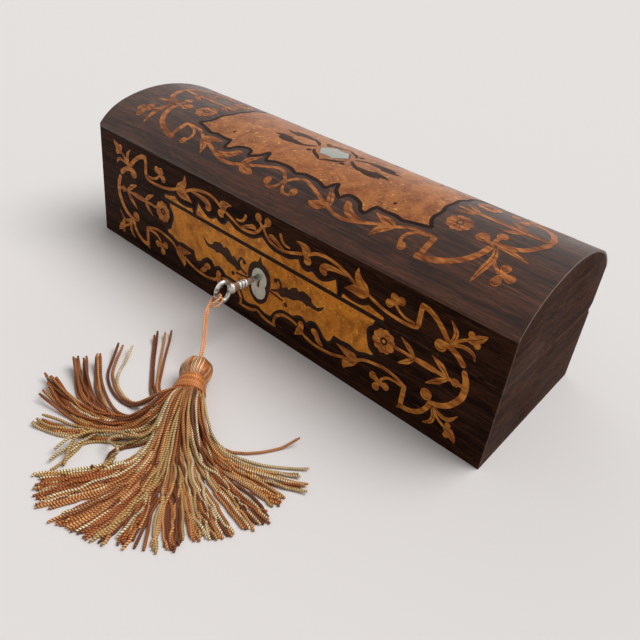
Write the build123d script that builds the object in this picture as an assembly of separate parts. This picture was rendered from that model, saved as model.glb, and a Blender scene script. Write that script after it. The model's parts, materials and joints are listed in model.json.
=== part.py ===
from build123d import *
import math
import os

# Antique glove box: a veneered pine carcass with a domed lid on two butt hinges, a sliding-bolt
# box lock worked by a barrel key, and a tassel tied to the key's bow.
# Millimetres. X runs along the box, the front is -Y, +Z is up, and the origin is the middle of
# the underside.

# ---------------------------------------------------------------- overall sizes
LENGTH = 280.0
WIDTH = 97.0
BASE_HEIGHT = 43.3
LID_GAP = 0.3
CREASE_Z = 68.7          # where the upright front meets the dome
CROWN_Z = 88.2           # top of the dome
HAUNCH_RADIUS = 38.9     # side arcs of the three-centred arch
CREASE_ANGLE = 36.1      # degrees above level of a side arc's radius at the crease

# ---------------------------------------------------------------- carcass
VENEER = 1.0
BOARD = 8.0
BOTTOM = 5.0
PANEL = 6.0
LINING = 1.2
PAD = 4.0
LINING_DROP = 1.0        # wall linings stop this far below the rim
BAY_CLEAR = 1.0          # between the front lining and the lock plate
SOFT_CLEAR = 0.3
TRIM = 1.0               # spare height or depth that a later cut takes off

# ---------------------------------------------------------------- hinges
HINGE_X = 92.0
HINGE_LENGTH = 27.0
LEAF_THICK = 1.2
LEAF_WIDTH = 6.4
KNUCKLE_R = 2.0
KNUCKLE_END_CLEAR = 0.2
KNUCKLE_CLEAR = 0.25
HINGE_PIN_R = 0.8
HINGE_PIN_FIT = 0.05
PIVOT_INSET = 2.4        # pivot line in from the back face
OPEN_ANGLE = 100.0       # the bevelled back edges meet here
BEVEL_CLEAR = 0.3
HINGE_SCREW_PITCH = 9.0

# ---------------------------------------------------------------- screws
SCREW_R = 0.8
SCREW_HEAD_R = 1.5
SCREW_HEAD_H = 0.8
SCREW_LENGTH = 5.5
SCREW_EDGE = 1.0         # plate left beyond a screw's head

# ---------------------------------------------------------------- lock
KEY_Z = 29.3
PIN_R = 0.95
LOCK_PLATE = 1.2
LOCK_PLATE_HALF = 30.0
LOCK_PLATE_DROP = 25.0   # height of the inner plate below the base's top edge
SELVEDGE_HALF = 35.0
SELVEDGE_FRONT = 0.5     # wood left in front of the selvedge, behind the veneer
CASE_HALF = 25.5
CASE_WALL = 1.0
CASE_FRONT = 3.0         # front of the case in from the outer face of the box
CAP_FLOOR = 0.8
BIT_RADIUS = 5.6
BIT_THICK = 1.5
BIT_CLEAR = 0.3
KEYHOLE_CLEAR = 0.3
BOLT_THICK = 1.6
BOLT_TRAVEL = 5.5
BOLT_BAR = 3.4           # height of the bolt's bar
BOLT_GAP = 0.3
TALON_ROOF = 1.4         # metal left above the talon notch
UPRIGHT = 2.5
FINGER_HEIGHT = 1.8
FINGER_LAP = 0.7         # how far a finger's tip stands back from its hook
STUD_R = 0.75
STUD_X = -10.5
STUD_STAND = 0.4         # how far the stud stands out past the bolt
STUD_CLEAR = 0.15
SIDE_CLEAR = 0.2         # hooks and spring, inside the bolt's thickness
SPRING_THICK = 0.4
SPRING_CLEAR = 0.6

# ---------------------------------------------------------------- link plate on the lid
HOOK_X = 13.0
HOOK_WIDTH = 2.4
HOOK_POST = 1.3
HOOK_FOOT = 1.2
HOOK_SLOT_CLEAR = 0.4
LINK_PLATE = 1.2

# ---------------------------------------------------------------- key
SHANK_R = 1.6
PIN_FIT = 0.07
BORE_CLEAR = 0.5         # beyond the pin's end
COLLAR_R = 2.15
COLLAR_PITCH = 1.9
COLLARS = 3
COLLAR_OUT = 8.7         # middle of the collar nearest the box, from the box's front
GROOVE_HEIGHT = 0.1      # grooves between the collars, above the shank
CONE_SINK = 0.8          # depth of the bow's wire in the end of the cone
CONE_R = 2.75
CONE_ROUND = 0.8
BOW_WIRE_R = 1.15
BOW_HALF_Y = 4.15        # wire centre line, along the key
BOW_HALF_Z = 5.35        # wire centre line, across the key
BOW_OUT = 22.8           # middle of the bow, from the box's front
BIT_ROOT = 1.2           # the bit starts this far below the key's axis, inside the shank
BIT_INSET = 0.1          # the bit's back edge, in from the key's tip
WARD_HALF = 0.3
WARD_DEPTH = 1.7

# ---------------------------------------------------------------- shell fittings
LOBE_UPPER_R = 6.0
LOBE_LOWER_R = 5.8
LOBE_UPPER_Z = 28.7
LOBE_LOWER_Z = 22.3
CARTOUCHE_HALF_X = 9.5
CARTOUCHE_HALF_Y = 6.9
CARTOUCHE_SHOULDER = 4.4
CARTOUCHE_DIP = 0.8      # hollow of its two long edges

# ---------------------------------------------------------------- tassel
HEAD_R = 7.3
HEAD_CORE_R = 5.6
HEAD_HEADING = -52.0     # degrees in plan, from the cord's side to the skirt
HEAD_DIP = 6.0           # degrees the neck end points down
HEAD_X = 18.9
HEAD_OUT = 52.9          # middle of the head, from the box's front
NECK_R = 5.7
NECK_ROUND = 1.0
NECK_START = 6.2
NECK_LENGTH = 5.4
SKIRT_EDGE = 3.6
SKIRT_HEAP = 11.0
SKIRT_HEAP_R = 25.0
CORD_D = 1.0
RUN_SHARE = 0.45         # part of the shorter run that a rounded corner may take up

# The cord's route: out of the head, up one strand, a lark's head round the lower part of the bow,
# and down the other strand into the head. Each point is (x, distance in front of the box, z).
CORD_ROUTE = [
    (14.6, 48.3, 8.0),
    (11.8, 44.5, 12.2),
    (8.9, 41.4, 13.9),
    (5.7, 38.6, 16.3),
    (2.8, 36.2, 19.6),
    (1.2, 34.2, 22.6),
    (-0.3, 31.6, 24.5),
    (-0.8, 29.8, 25.5),
    (-2.0, 28.5, 26.2),
    (-1.9, 24.7, 28.3),
    (2.0, 24.9, 28.8),
    (2.2, 29.0, 27.1),
    (0.9, 30.7, 25.6),
    (0.9, 29.7, 23.6),
    (2.2, 27.4, 24.0),
    (2.0, 23.7, 26.1),
    (-1.9, 23.9, 26.5),
    (-2.0, 27.8, 24.9),
    (-0.8, 29.3, 24.3),
    (-0.3, 31.1, 23.5),
    (2.0, 33.4, 22.6),
    (3.6, 35.4, 19.6),
    (6.5, 37.8, 16.3),
    (9.7, 40.6, 13.9),
    (12.6, 43.7, 12.2),
    (15.5, 47.6, 8.0),
]

# Tips of the skirt's cords as they lie, from the middle of the neck's end: (degrees in plan from
# the tassel's own line, reach). They fan out further to one side, where some pass the head.
SKIRT_TIPS = [
    (-134, 52), (-116, 54), (-98, 60), (-80, 60), (-62, 60), (-42, 65), (-28, 69), (-10, 72),
    (6, 75), (24, 72), (40, 72), (54, 72), (66, 66), (78, 56),
]
SKIRT_VALLEY = 0.93      # the outline between two tips, as a part of their mean reach
SKIRT_INNER = [(6.0, 10.0), (-9.0, 1.0)]      # the outline beside the neck, from its end

# ---------------------------------------------------------------- derived places
FRONT = -WIDTH / 2
BACK = WIDTH / 2
WALL = VENEER + BOARD
INNER_FRONT = FRONT + WALL
INNER_BACK = BACK - WALL
HALF_BOARD_X = LENGTH / 2 - VENEER
INNER_X = LENGTH / 2 - WALL
BOARD_FRONT = FRONT + VENEER
BOARD_BACK = BACK - VENEER
LID_Z = BASE_HEIGHT + LID_GAP
TALL = CROWN_Z + 10.0
PIVOT_Y = BACK - PIVOT_INSET
PIVOT_Z = BASE_HEIGHT + LID_GAP / 2
BEVEL = math.radians(OPEN_ANGLE / 2)

PLATE_BACK = INNER_FRONT
PLATE_FRONT = INNER_FRONT - LOCK_PLATE
SELVEDGE_Y = BOARD_FRONT + SELVEDGE_FRONT
SELVEDGE_Z = BASE_HEIGHT - LOCK_PLATE
PLATE_Z = BASE_HEIGHT - LOCK_PLATE_DROP
CASE_Y = FRONT + CASE_FRONT
CASE_INNER_Y = CASE_Y + CAP_FLOOR
CASE_Z = KEY_Z - BIT_RADIUS - 2 * BIT_CLEAR - CASE_WALL
BOLT_BACK = PLATE_FRONT - BOLT_GAP
BOLT_FRONT = BOLT_BACK - BOLT_THICK
TALON_TOP = KEY_Z + BIT_RADIUS + BIT_CLEAR
BAR_TOP = TALON_TOP + TALON_ROOF
BAR_BOTTOM = BAR_TOP - BOLT_BAR
HOOK_Z = BAR_TOP + BOLT_GAP
FINGER_Z = HOOK_Z + HOOK_FOOT + BOLT_GAP
FINGER_TOP = FINGER_Z + FINGER_HEIGHT
FINGER_LENGTH = BOLT_TRAVEL + FINGER_LAP
FINGER_TIPS = [x - HOOK_WIDTH / 2 - FINGER_LAP for x in (-HOOK_X, HOOK_X)]
FINGER_ROOTS = [tip - FINGER_LENGTH for tip in FINGER_TIPS]
HOOK_BACK = BOLT_BACK - SIDE_CLEAR
HOOK_FRONT = BOLT_FRONT - BOLT_GAP - HOOK_POST
SPRING_Y = BOLT_FRONT + SIDE_CLEAR

KEY_TIP_Y = PLATE_FRONT - BIT_CLEAR
BIT_FRONT_Y = CASE_INNER_Y + BIT_CLEAR
BIT_BACK_Y = KEY_TIP_Y - BIT_INSET
PIN_END_Y = BOARD_FRONT
BORE_END_Y = PIN_END_Y - BORE_CLEAR
COLLAR_Y = FRONT - COLLAR_OUT
BOW_Y = FRONT - BOW_OUT
KEYHOLE_R = SHANK_R + KEYHOLE_CLEAR
SLOT_HALF = BIT_THICK / 2 + BIT_CLEAR
SLOT_BOTTOM = KEY_Z - BIT_RADIUS - BIT_CLEAR

HEAD_CENTRE = Vector(HEAD_X, FRONT - HEAD_OUT, HEAD_R)
HEADING = math.radians(HEAD_HEADING)
DIP = math.radians(HEAD_DIP)
TASSEL_LINE = Vector(
    math.cos(HEADING) * math.cos(DIP), math.sin(HEADING) * math.cos(DIP), -math.sin(DIP)
)

os.makedirs("parts", exist_ok=True)


# ---------------------------------------------------------------- helpers
def block(x0, x1, y0, y1, z0, z1):
    """A box between two corners."""
    middle = ((x0 + x1) / 2, (y0 + y1) / 2, (z0 + z1) / 2)
    return Pos(*middle) * Box(x1 - x0, y1 - y0, z1 - z0)


def rod(start, end, radius):
    """A round bar from one point to another."""
    start = Vector(*start) if isinstance(start, tuple) else start
    end = Vector(*end) if isinstance(end, tuple) else end
    plane = Plane(origin=start, z_dir=end - start)
    return extrude(plane * Circle(radius), (end - start).length)


def haunch():
    """Centre of a side arc of the arch, and the direction from it to where it joins the crown."""
    turn = math.radians(CREASE_ANGLE)
    crease = Vector(WIDTH / 2, CREASE_Z)
    centre = crease - Vector(math.cos(turn), math.sin(turn)) * HAUNCH_RADIUS
    drop = CROWN_Z - centre.Y
    crown_radius = (drop ** 2 + centre.X ** 2 - HAUNCH_RADIUS ** 2) / (2 * (drop - HAUNCH_RADIUS))
    crown = Vector(0, CROWN_Z - crown_radius)
    return centre, (centre - crown).normalized()


def arch_face(inset):
    """The lid's arched section, inset square to the outside, carried down to upright sides."""
    centre, outward = haunch()
    r = HAUNCH_RADIUS - inset
    side = centre.X + r
    joint = centre + outward * r
    top = CROWN_Z - inset
    half_angle = math.atan2(outward.Y, outward.X) / 2
    bend = centre + Vector(math.cos(half_angle), math.sin(half_angle)) * r
    floor = BASE_HEIGHT - TRIM
    edges = [
        Line((side, floor), (side, centre.Y)),
        ThreePointArc((side, centre.Y), (bend.X, bend.Y), (joint.X, joint.Y)),
        ThreePointArc((joint.X, joint.Y), (0, top), (-joint.X, joint.Y)),
        ThreePointArc((-joint.X, joint.Y), (-bend.X, bend.Y), (-side, centre.Y)),
        Line((-side, centre.Y), (-side, floor)),
        Line((-side, floor), (side, floor)),
    ]
    return Plane.YZ * make_face(edges)


def under_arch(inset, x0, x1, y0, y1):
    """A block from the lid's lower edge up to the arch at this inset."""
    solid = extrude(arch_face(inset), LENGTH, both=True)
    return solid & block(x0, x1, y0, y1, LID_Z, TALL)


def along_x(points, x0, x1):
    """A prism with this outline of (y, z) points."""
    face = Plane.YZ.offset(x0) * make_face(Polyline(*points, close=True))
    return extrude(face, x1 - x0)


def keyhole(y0, y1):
    """The round-and-slot opening for the key, as a cutter."""
    hole = rod((0, y0, KEY_Z), (0, y1, KEY_Z), KEYHOLE_R)
    return hole + block(-SLOT_HALF, SLOT_HALF, y0, y1, SLOT_BOTTOM, KEY_Z)


def screw(point, direction):
    """A countersunk wood screw without its thread: head at point, driven along direction."""
    plane = Plane(origin=point, z_dir=direction)
    profile = Polyline(
        (0, 0),
        (SCREW_HEAD_R, 0),
        (SCREW_R, SCREW_HEAD_H),
        (SCREW_R, SCREW_LENGTH - SCREW_R),
        (0, SCREW_LENGTH),
        close=True,
    )
    return plane * revolve(Plane.XZ * make_face(profile), Axis.Z)


def group(pieces):
    """Separate solids kept in one node."""
    return Compound(children=[Compound(piece.solids()) for piece in pieces])


def back_bevel(sign):
    """Cutter for the bevelled back edge of the base (-1) or the lid (+1), which stops the lid."""
    tip = PIVOT_Y - BEVEL_CLEAR
    reach = BACK - tip + TRIM
    return along_x(
        [
            (tip, PIVOT_Z),
            (tip + reach, PIVOT_Z),
            (tip + reach, PIVOT_Z + sign * reach * math.tan(BEVEL)),
        ],
        -LENGTH,
        LENGTH,
    )


# ---------------------------------------------------------------- hinges
def knuckle_spans(x, lid):
    """The stretches of barrel that this leaf carries: the lid has the middle one."""
    third = HINGE_LENGTH / 3
    gap = KNUCKLE_END_CLEAR / 2
    if lid:
        return [(x - third / 2 + gap, x + third / 2 - gap)]
    half = HINGE_LENGTH / 2
    return [(x - half, x - third / 2 - gap), (x + third / 2 + gap, x + half)]


def leaf_plate(x, lid):
    """The flat of one hinge leaf, let into the edge of its board."""
    z0 = LID_Z if lid else BASE_HEIGHT - LEAF_THICK
    return block(
        x - HINGE_LENGTH / 2, x + HINGE_LENGTH / 2, PIVOT_Y - LEAF_WIDTH, PIVOT_Y, z0, z0 + LEAF_THICK
    )


def barrel(x0, x1, radius):
    """A bar on the pivot line."""
    return rod((x0, PIVOT_Y, PIVOT_Z), (x1, PIVOT_Y, PIVOT_Z), radius)


def hinge_relief(x):
    """Room in the wood for the barrel of one hinge."""
    half = HINGE_LENGTH / 2 + KNUCKLE_CLEAR
    return barrel(x - half, x + half, KNUCKLE_R + KNUCKLE_CLEAR)


def hinge_screws(x, lid):
    """The three screws of one leaf."""
    z = LID_Z if lid else BASE_HEIGHT
    y = PIVOT_Y - LEAF_WIDTH / 2 - KNUCKLE_R / 2
    direction = (0, 0, 1) if lid else (0, 0, -1)
    return [screw((x + step * HINGE_SCREW_PITCH, y, z), direction) for step in (-1, 0, 1)]


def hinge_leaf(x, lid):
    """One leaf: plate, its knuckles, the pin's bore and the countersinks."""
    leaf = leaf_plate(x, lid)
    for x0, x1 in knuckle_spans(x, not lid):
        gap = KNUCKLE_END_CLEAR
        leaf -= barrel(x0 - gap, x1 + gap, KNUCKLE_R + KNUCKLE_CLEAR)
    for x0, x1 in knuckle_spans(x, lid):
        leaf += barrel(x0, x1, KNUCKLE_R)
    leaf -= barrel(x - HINGE_LENGTH, x + HINGE_LENGTH, HINGE_PIN_R + HINGE_PIN_FIT)
    for piece in hinge_screws(x, lid):
        leaf -= piece
    return leaf


def hinges():
    """Both hinges, by node name."""
    nodes = {}
    base_screws = []
    lid_screws = []
    for side, x in (("left", -HINGE_X), ("right", HINGE_X)):
        nodes[f"hinge_{side}_base_leaf"] = hinge_leaf(x, False)
        nodes[f"hinge_{side}_lid_leaf"] = hinge_leaf(x, True)
        nodes[f"hinge_{side}_pin"] = barrel(x - HINGE_LENGTH / 2, x + HINGE_LENGTH / 2, HINGE_PIN_R)
        base_screws += hinge_screws(x, False)
        lid_screws += hinge_screws(x, True)
    nodes["hinge_screws_base"] = group(base_screws)
    nodes["hinge_screws_lid"] = group(lid_screws)
    return nodes


# ---------------------------------------------------------------- lock
def hook_slot(x):
    """Slot in the selvedge for one hook of the link plate."""
    half = HOOK_WIDTH / 2 + HOOK_SLOT_CLEAR
    return block(
        x - half,
        x + half,
        HOOK_FRONT - HOOK_SLOT_CLEAR,
        PLATE_FRONT,
        SELVEDGE_Z,
        BASE_HEIGHT,
    )


def lock_screws():
    """Two screws down through the selvedge and two through the inner plate."""
    selvedge_x = (SELVEDGE_HALF + CASE_HALF) / 2 + SCREW_EDGE
    plate_x = (LOCK_PLATE_HALF + CASE_HALF) / 2
    middle_y = (SELVEDGE_Y + PLATE_FRONT) / 2
    plate_z = PLATE_Z + SCREW_HEAD_R + SCREW_EDGE
    pieces = []
    for side in (-1, 1):
        pieces.append(screw((side * selvedge_x, middle_y, BASE_HEIGHT), (0, 0, -1)))
        pieces.append(screw((side * plate_x, PLATE_BACK, plate_z), (0, -1, 0)))
    return pieces


def lock_case_space():
    """The mortise for the lock's case, cut from inside the front board."""
    return block(-CASE_HALF, CASE_HALF, CASE_Y, PLATE_FRONT, CASE_Z, SELVEDGE_Z)


def lock_plate():
    """The inner plate and selvedge in one piece, with the stud that guides the bolt."""
    plate = block(-LOCK_PLATE_HALF, LOCK_PLATE_HALF, PLATE_FRONT, PLATE_BACK, PLATE_Z, BASE_HEIGHT)
    plate += block(
        -SELVEDGE_HALF, SELVEDGE_HALF, SELVEDGE_Y, PLATE_BACK, SELVEDGE_Z, BASE_HEIGHT
    )
    for x in (-HOOK_X, HOOK_X):
        plate -= hook_slot(x)
    for piece in lock_screws():
        plate -= piece
    plate -= rod((0, PLATE_BACK, KEY_Z), (0, PLATE_FRONT, KEY_Z), PIN_R)
    middle = (BAR_TOP + BAR_BOTTOM) / 2
    return plate + rod((STUD_X, PLATE_FRONT, middle), (STUD_X, BOLT_FRONT - STUD_STAND, middle), STUD_R)


def lock_cap():
    """The case: a shallow tray with the keyhole in its floor, open under the selvedge."""
    tray = lock_case_space()
    tray -= block(
        -CASE_HALF + CASE_WALL,
        CASE_HALF - CASE_WALL,
        CASE_INNER_Y,
        PLATE_FRONT,
        CASE_Z + CASE_WALL,
        SELVEDGE_Z,
    )
    return tray - keyhole(CASE_Y, CASE_INNER_Y)


def lock_bolt():
    """The sliding bolt: a bar with two fingers that pass over the hooks, the talon and a slot."""
    bar_left = FINGER_ROOTS[0] - UPRIGHT
    bar = block(bar_left, FINGER_ROOTS[1], BOLT_FRONT, BOLT_BACK, BAR_BOTTOM, BAR_TOP)
    for tip, root in zip(FINGER_TIPS, FINGER_ROOTS):
        bar += block(root - UPRIGHT, root, BOLT_FRONT, BOLT_BACK, BAR_BOTTOM, FINGER_TOP)
        bar += block(root - UPRIGHT, tip, BOLT_FRONT, BOLT_BACK, FINGER_Z, FINGER_TOP)
    height = BAR_BOTTOM - KEY_Z
    sweep_half = math.sqrt(BIT_RADIUS ** 2 - height ** 2) + BIT_THICK / 2 + BIT_CLEAR
    enter = math.asin(sweep_half / (BIT_RADIUS + BIT_THICK)) / (2 * math.pi)
    moved = (0.5 - enter) * BOLT_TRAVEL, (0.5 + enter) * BOLT_TRAVEL
    bar -= block(
        -sweep_half - moved[1],
        sweep_half - moved[0],
        BOLT_FRONT,
        BOLT_BACK,
        BAR_BOTTOM,
        TALON_TOP,
    )
    slot_r = STUD_R + STUD_CLEAR
    middle = (BAR_TOP + BAR_BOTTOM) / 2
    slot_left = STUD_X - BOLT_TRAVEL
    for x in (slot_left, STUD_X):
        bar -= rod((x, BOLT_FRONT, middle), (x, BOLT_BACK, middle), slot_r)
    return bar - block(
        slot_left, STUD_X, BOLT_FRONT, BOLT_BACK, middle - slot_r, middle + slot_r
    )


def lock_spring():
    """The bowed leaf between the selvedge and the bolt's bar, clear of the fingers' travel."""
    top = SELVEDGE_Z
    low = BAR_TOP + BOLT_GAP
    left = FINGER_TIPS[0] + BOLT_TRAVEL + SPRING_CLEAR
    right = FINGER_ROOTS[1] - UPRIGHT - SPRING_CLEAR
    middle = (left + right) / 2
    outer = ThreePointArc((left, top), (middle, low), (right, top))
    inner = ThreePointArc(
        (right - SPRING_THICK, top), (middle, low + SPRING_THICK), (left + SPRING_THICK, top)
    )
    closing = [Line(outer @ 1, inner @ 0), Line(inner @ 1, outer @ 0)]
    face = Plane.XZ.offset(-SPRING_Y) * make_face([outer, inner] + closing)
    return extrude(face, -(BOLT_BACK - SIDE_CLEAR - SPRING_Y))


def link_screws():
    """The two screws of the link plate."""
    x = (SELVEDGE_HALF + CASE_HALF) / 2 + SCREW_EDGE
    y = (SELVEDGE_Y + PLATE_FRONT) / 2
    return [screw((side * x, y, LID_Z), (0, 0, 1)) for side in (-1, 1)]


def link_plate_body():
    """The plate let into the lid's lower edge."""
    return block(
        -SELVEDGE_HALF, SELVEDGE_HALF, SELVEDGE_Y, PLATE_BACK, LID_Z, LID_Z + LINK_PLATE
    )


def link_plate():
    """The lid's plate with its two hooks, whose feet the bolt passes over."""
    plate = link_plate_body()
    for x in (-HOOK_X, HOOK_X):
        x0 = x - HOOK_WIDTH / 2
        x1 = x + HOOK_WIDTH / 2
        plate += block(x0, x1, HOOK_FRONT, HOOK_FRONT + HOOK_POST, HOOK_Z, LID_Z)
        plate += block(x0, x1, HOOK_FRONT, HOOK_BACK, HOOK_Z, HOOK_Z + HOOK_FOOT)
    for piece in link_screws():
        plate -= piece
    return plate


# ---------------------------------------------------------------- key
def key():
    """Barrel key: bored shank, warded bit, three collars, a cone and an oval bow."""
    last_collar = COLLAR_Y - (COLLARS - 1) * COLLAR_PITCH
    cone_start = last_collar - COLLAR_PITCH / 2
    cone_end = BOW_Y + BOW_HALF_Y + BOW_WIRE_R - CONE_SINK
    points = [(0, KEY_TIP_Y), (SHANK_R, KEY_TIP_Y), (SHANK_R, COLLAR_Y + COLLAR_PITCH / 2)]
    edges = [Line(a, b) for a, b in zip(points, points[1:])]
    groove = SHANK_R + GROOVE_HEIGHT
    here = points[-1]
    for number in range(COLLARS):
        y = COLLAR_Y - number * COLLAR_PITCH
        far = (groove, y - COLLAR_PITCH / 2)
        edges.append(ThreePointArc(here, (COLLAR_R, y), far))
        here = far
    shoulder = (CONE_R, cone_end + CONE_ROUND)
    rim = (CONE_R - CONE_ROUND, cone_end)
    bend = CONE_ROUND * (1 - math.sqrt(0.5))
    edges.append(Line(here, shoulder))
    edges.append(ThreePointArc(shoulder, (CONE_R - bend, cone_end + bend), rim))
    edges.append(Line(rim, (0, cone_end)))
    edges.append(Line((0, cone_end), (0, KEY_TIP_Y)))
    axis = Axis((0, 0, KEY_Z), (0, 1, 0))
    body = revolve(Plane.XY.offset(KEY_Z) * make_face(edges), axis)
    for start in (0, 180):
        half = EllipticalCenterArc((0, 0), BOW_HALF_Y, BOW_HALF_Z, start, arc_size=180)
        path = Plane.YZ * Pos(BOW_Y, KEY_Z) * half
        section = Plane(origin=path @ 0, z_dir=path % 0) * Circle(BOW_WIRE_R)
        body += sweep(section, path=path)
    bit = block(
        -BIT_THICK / 2, BIT_THICK / 2, BIT_FRONT_Y, BIT_BACK_Y, KEY_Z - BIT_RADIUS, KEY_Z - BIT_ROOT
    )
    middle = (BIT_FRONT_Y + BIT_BACK_Y) / 2
    ward_top = KEY_Z - BIT_RADIUS + WARD_DEPTH
    bit -= block(-BIT_THICK, BIT_THICK, middle - WARD_HALF, middle + WARD_HALF, 0, ward_top)
    body += bit
    return body - rod((0, KEY_TIP_Y, KEY_Z), (0, BORE_END_Y, KEY_Z), PIN_R + PIN_FIT)


# ---------------------------------------------------------------- shell fittings
def escutcheon_blank(y0, y1):
    """The double-lobed outline of the keyhole plate."""
    upper = rod((0, y0, LOBE_UPPER_Z), (0, y1, LOBE_UPPER_Z), LOBE_UPPER_R)
    return upper + rod((0, y0, LOBE_LOWER_Z), (0, y1, LOBE_LOWER_Z), LOBE_LOWER_R)


def cartouche_column():
    """The shaped outline of the plate on the dome, as a tall column."""
    tip = CARTOUCHE_HALF_X
    wide = CARTOUCHE_HALF_Y
    shoulder = CARTOUCHE_SHOULDER
    corners = [(tip, 0), (shoulder, wide), (-shoulder, wide), (-tip, 0), (-shoulder, -wide)]
    corners.append((shoulder, -wide))
    hollow = (1, 4)
    edges = []
    for index, corner in enumerate(corners):
        following = corners[(index + 1) % len(corners)]
        middle = Vector(corner[0] + following[0], corner[1] + following[1]) / 2
        if index in hollow:
            middle = middle - middle.normalized() * CARTOUCHE_DIP
            edges.append(ThreePointArc(corner, (middle.X, middle.Y), following))
        else:
            edges.append(Line(corner, following))
    return extrude(make_face(edges), TALL)


# ---------------------------------------------------------------- carcass
def bare_boards():
    """Carcass boards and lid frame before anything is let into them."""
    x = HALF_BOARD_X
    floor = BOTTOM
    inner = VENEER + PANEL
    panel = under_arch(VENEER, -x, x, BOARD_FRONT, BOARD_BACK)
    panel -= extrude(arch_face(inner), LENGTH, both=True)
    return {
        "bottom_board": block(-x, x, BOARD_FRONT, BOARD_BACK, 0, floor),
        "base_front_board": block(-x, x, BOARD_FRONT, INNER_FRONT, floor, BASE_HEIGHT),
        "base_back_board": block(-x, x, INNER_BACK, BOARD_BACK, floor, BASE_HEIGHT),
        "base_left_end": block(-x, -INNER_X, INNER_FRONT, INNER_BACK, floor, BASE_HEIGHT),
        "base_right_end": block(INNER_X, x, INNER_FRONT, INNER_BACK, floor, BASE_HEIGHT),
        "lid_front_rail": under_arch(inner, -x, x, BOARD_FRONT, INNER_FRONT),
        "lid_back_rail": under_arch(inner, -x, x, INNER_BACK, BOARD_BACK),
        "lid_left_end": under_arch(inner, -x, -INNER_X, INNER_FRONT, INNER_BACK),
        "lid_right_end": under_arch(inner, INNER_X, x, INNER_FRONT, INNER_BACK),
        "lid_panel": panel,
    }


def bare_veneers():
    """Rosewood veneers: front and back lap over the ends, the dome laps over them all."""
    x = LENGTH / 2
    dome = under_arch(0, -x, x, FRONT, BACK) - extrude(arch_face(VENEER), LENGTH, both=True)
    return {
        "base_front_veneer": block(-x, x, FRONT, BOARD_FRONT, 0, BASE_HEIGHT),
        "base_back_veneer": block(-x, x, BOARD_BACK, BACK, 0, BASE_HEIGHT),
        "base_left_veneer": block(-x, -HALF_BOARD_X, BOARD_FRONT, BOARD_BACK, 0, BASE_HEIGHT),
        "base_right_veneer": block(HALF_BOARD_X, x, BOARD_FRONT, BOARD_BACK, 0, BASE_HEIGHT),
        "lid_front_veneer": under_arch(VENEER, -x, x, FRONT, BOARD_FRONT),
        "lid_back_veneer": under_arch(VENEER, -x, x, BOARD_BACK, BACK),
        "lid_left_veneer": under_arch(VENEER, -x, -HALF_BOARD_X, BOARD_FRONT, BOARD_BACK),
        "lid_right_veneer": under_arch(VENEER, HALF_BOARD_X, x, BOARD_FRONT, BOARD_BACK),
        "lid_top_veneer": dome,
    }


def carcass():
    """Boards and veneers with every mortise, recess, bevel and screw hole."""
    nodes = {**bare_boards(), **bare_veneers()}
    for name in ("base_back_board", "base_back_veneer", "lid_back_rail", "lid_back_veneer"):
        lid = name.startswith("lid")
        nodes[name] -= back_bevel(1 if lid else -1)
        for x in (-HINGE_X, HINGE_X):
            nodes[name] -= hinge_relief(x)
            nodes[name] -= leaf_plate(x, lid)
            for piece in hinge_screws(x, lid):
                nodes[name] -= piece
    for name in ("base_left_veneer", "base_right_veneer", "lid_left_veneer", "lid_right_veneer"):
        nodes[name] -= back_bevel(1 if name.startswith("lid") else -1)
    front = nodes["base_front_board"]
    front -= lock_case_space()
    front -= block(
        -LOCK_PLATE_HALF, LOCK_PLATE_HALF, PLATE_FRONT, PLATE_BACK, PLATE_Z, BASE_HEIGHT
    )
    front -= block(-SELVEDGE_HALF, SELVEDGE_HALF, SELVEDGE_Y, PLATE_BACK, SELVEDGE_Z, BASE_HEIGHT)
    for piece in lock_screws():
        front -= piece
    nodes["base_front_board"] = front - keyhole(BOARD_FRONT, CASE_Y)
    nodes["base_front_veneer"] -= escutcheon_blank(FRONT, BOARD_FRONT)
    rail = nodes["lid_front_rail"] - link_plate_body()
    for piece in link_screws():
        rail -= piece
    nodes["lid_front_rail"] = rail
    nodes["lid_cartouche"] = nodes["lid_top_veneer"] & cartouche_column()
    nodes["lid_top_veneer"] -= cartouche_column()
    return nodes


# ---------------------------------------------------------------- lining
def linings():
    """Silk over card on the walls, a floor pad and the lid's lining."""
    x0 = INNER_X
    pad_x = INNER_X - LINING - SOFT_CLEAR
    pad_front = INNER_FRONT + LINING + SOFT_CLEAR
    pad_back = INNER_BACK - LINING - SOFT_CLEAR
    top = BASE_HEIGHT - LINING_DROP
    bay = LOCK_PLATE_HALF + BAY_CLEAR
    front = block(-x0, x0, INNER_FRONT, INNER_FRONT + LINING, BOTTOM, top)
    front -= block(-bay, bay, INNER_FRONT, INNER_FRONT + LINING, PLATE_Z - BAY_CLEAR, top)
    pad = block(-pad_x, pad_x, pad_front, pad_back, BOTTOM, BOTTOM + PAD)
    pad = fillet(pad.edges().group_by(Axis.Z)[-1], PAD / 3)
    side_y0 = INNER_FRONT + LINING
    side_y1 = INNER_BACK - LINING
    inset = VENEER + PANEL
    lid = under_arch(inset, -x0, x0, INNER_FRONT, INNER_BACK)
    lid -= extrude(arch_face(inset + LINING), LENGTH, both=True)
    return {
        "lining_front": front,
        "lining_back": block(-x0, x0, INNER_BACK - LINING, INNER_BACK, BOTTOM, top),
        "lining_left": block(-x0, -x0 + LINING, side_y0, side_y1, BOTTOM, top),
        "lining_right": block(x0 - LINING, x0, side_y0, side_y1, BOTTOM, top),
        "floor_pad": pad,
        "lid_lining": lid,
    }


# ---------------------------------------------------------------- tassel
def turn_radius(before, corner, after):
    """The widest rounding that leaves room on both runs beside a corner."""
    a = corner - before
    b = after - corner
    half = math.radians(a.get_angle(b)) / 2
    return RUN_SHARE * min(a.length, b.length) / math.tan(half)


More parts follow.
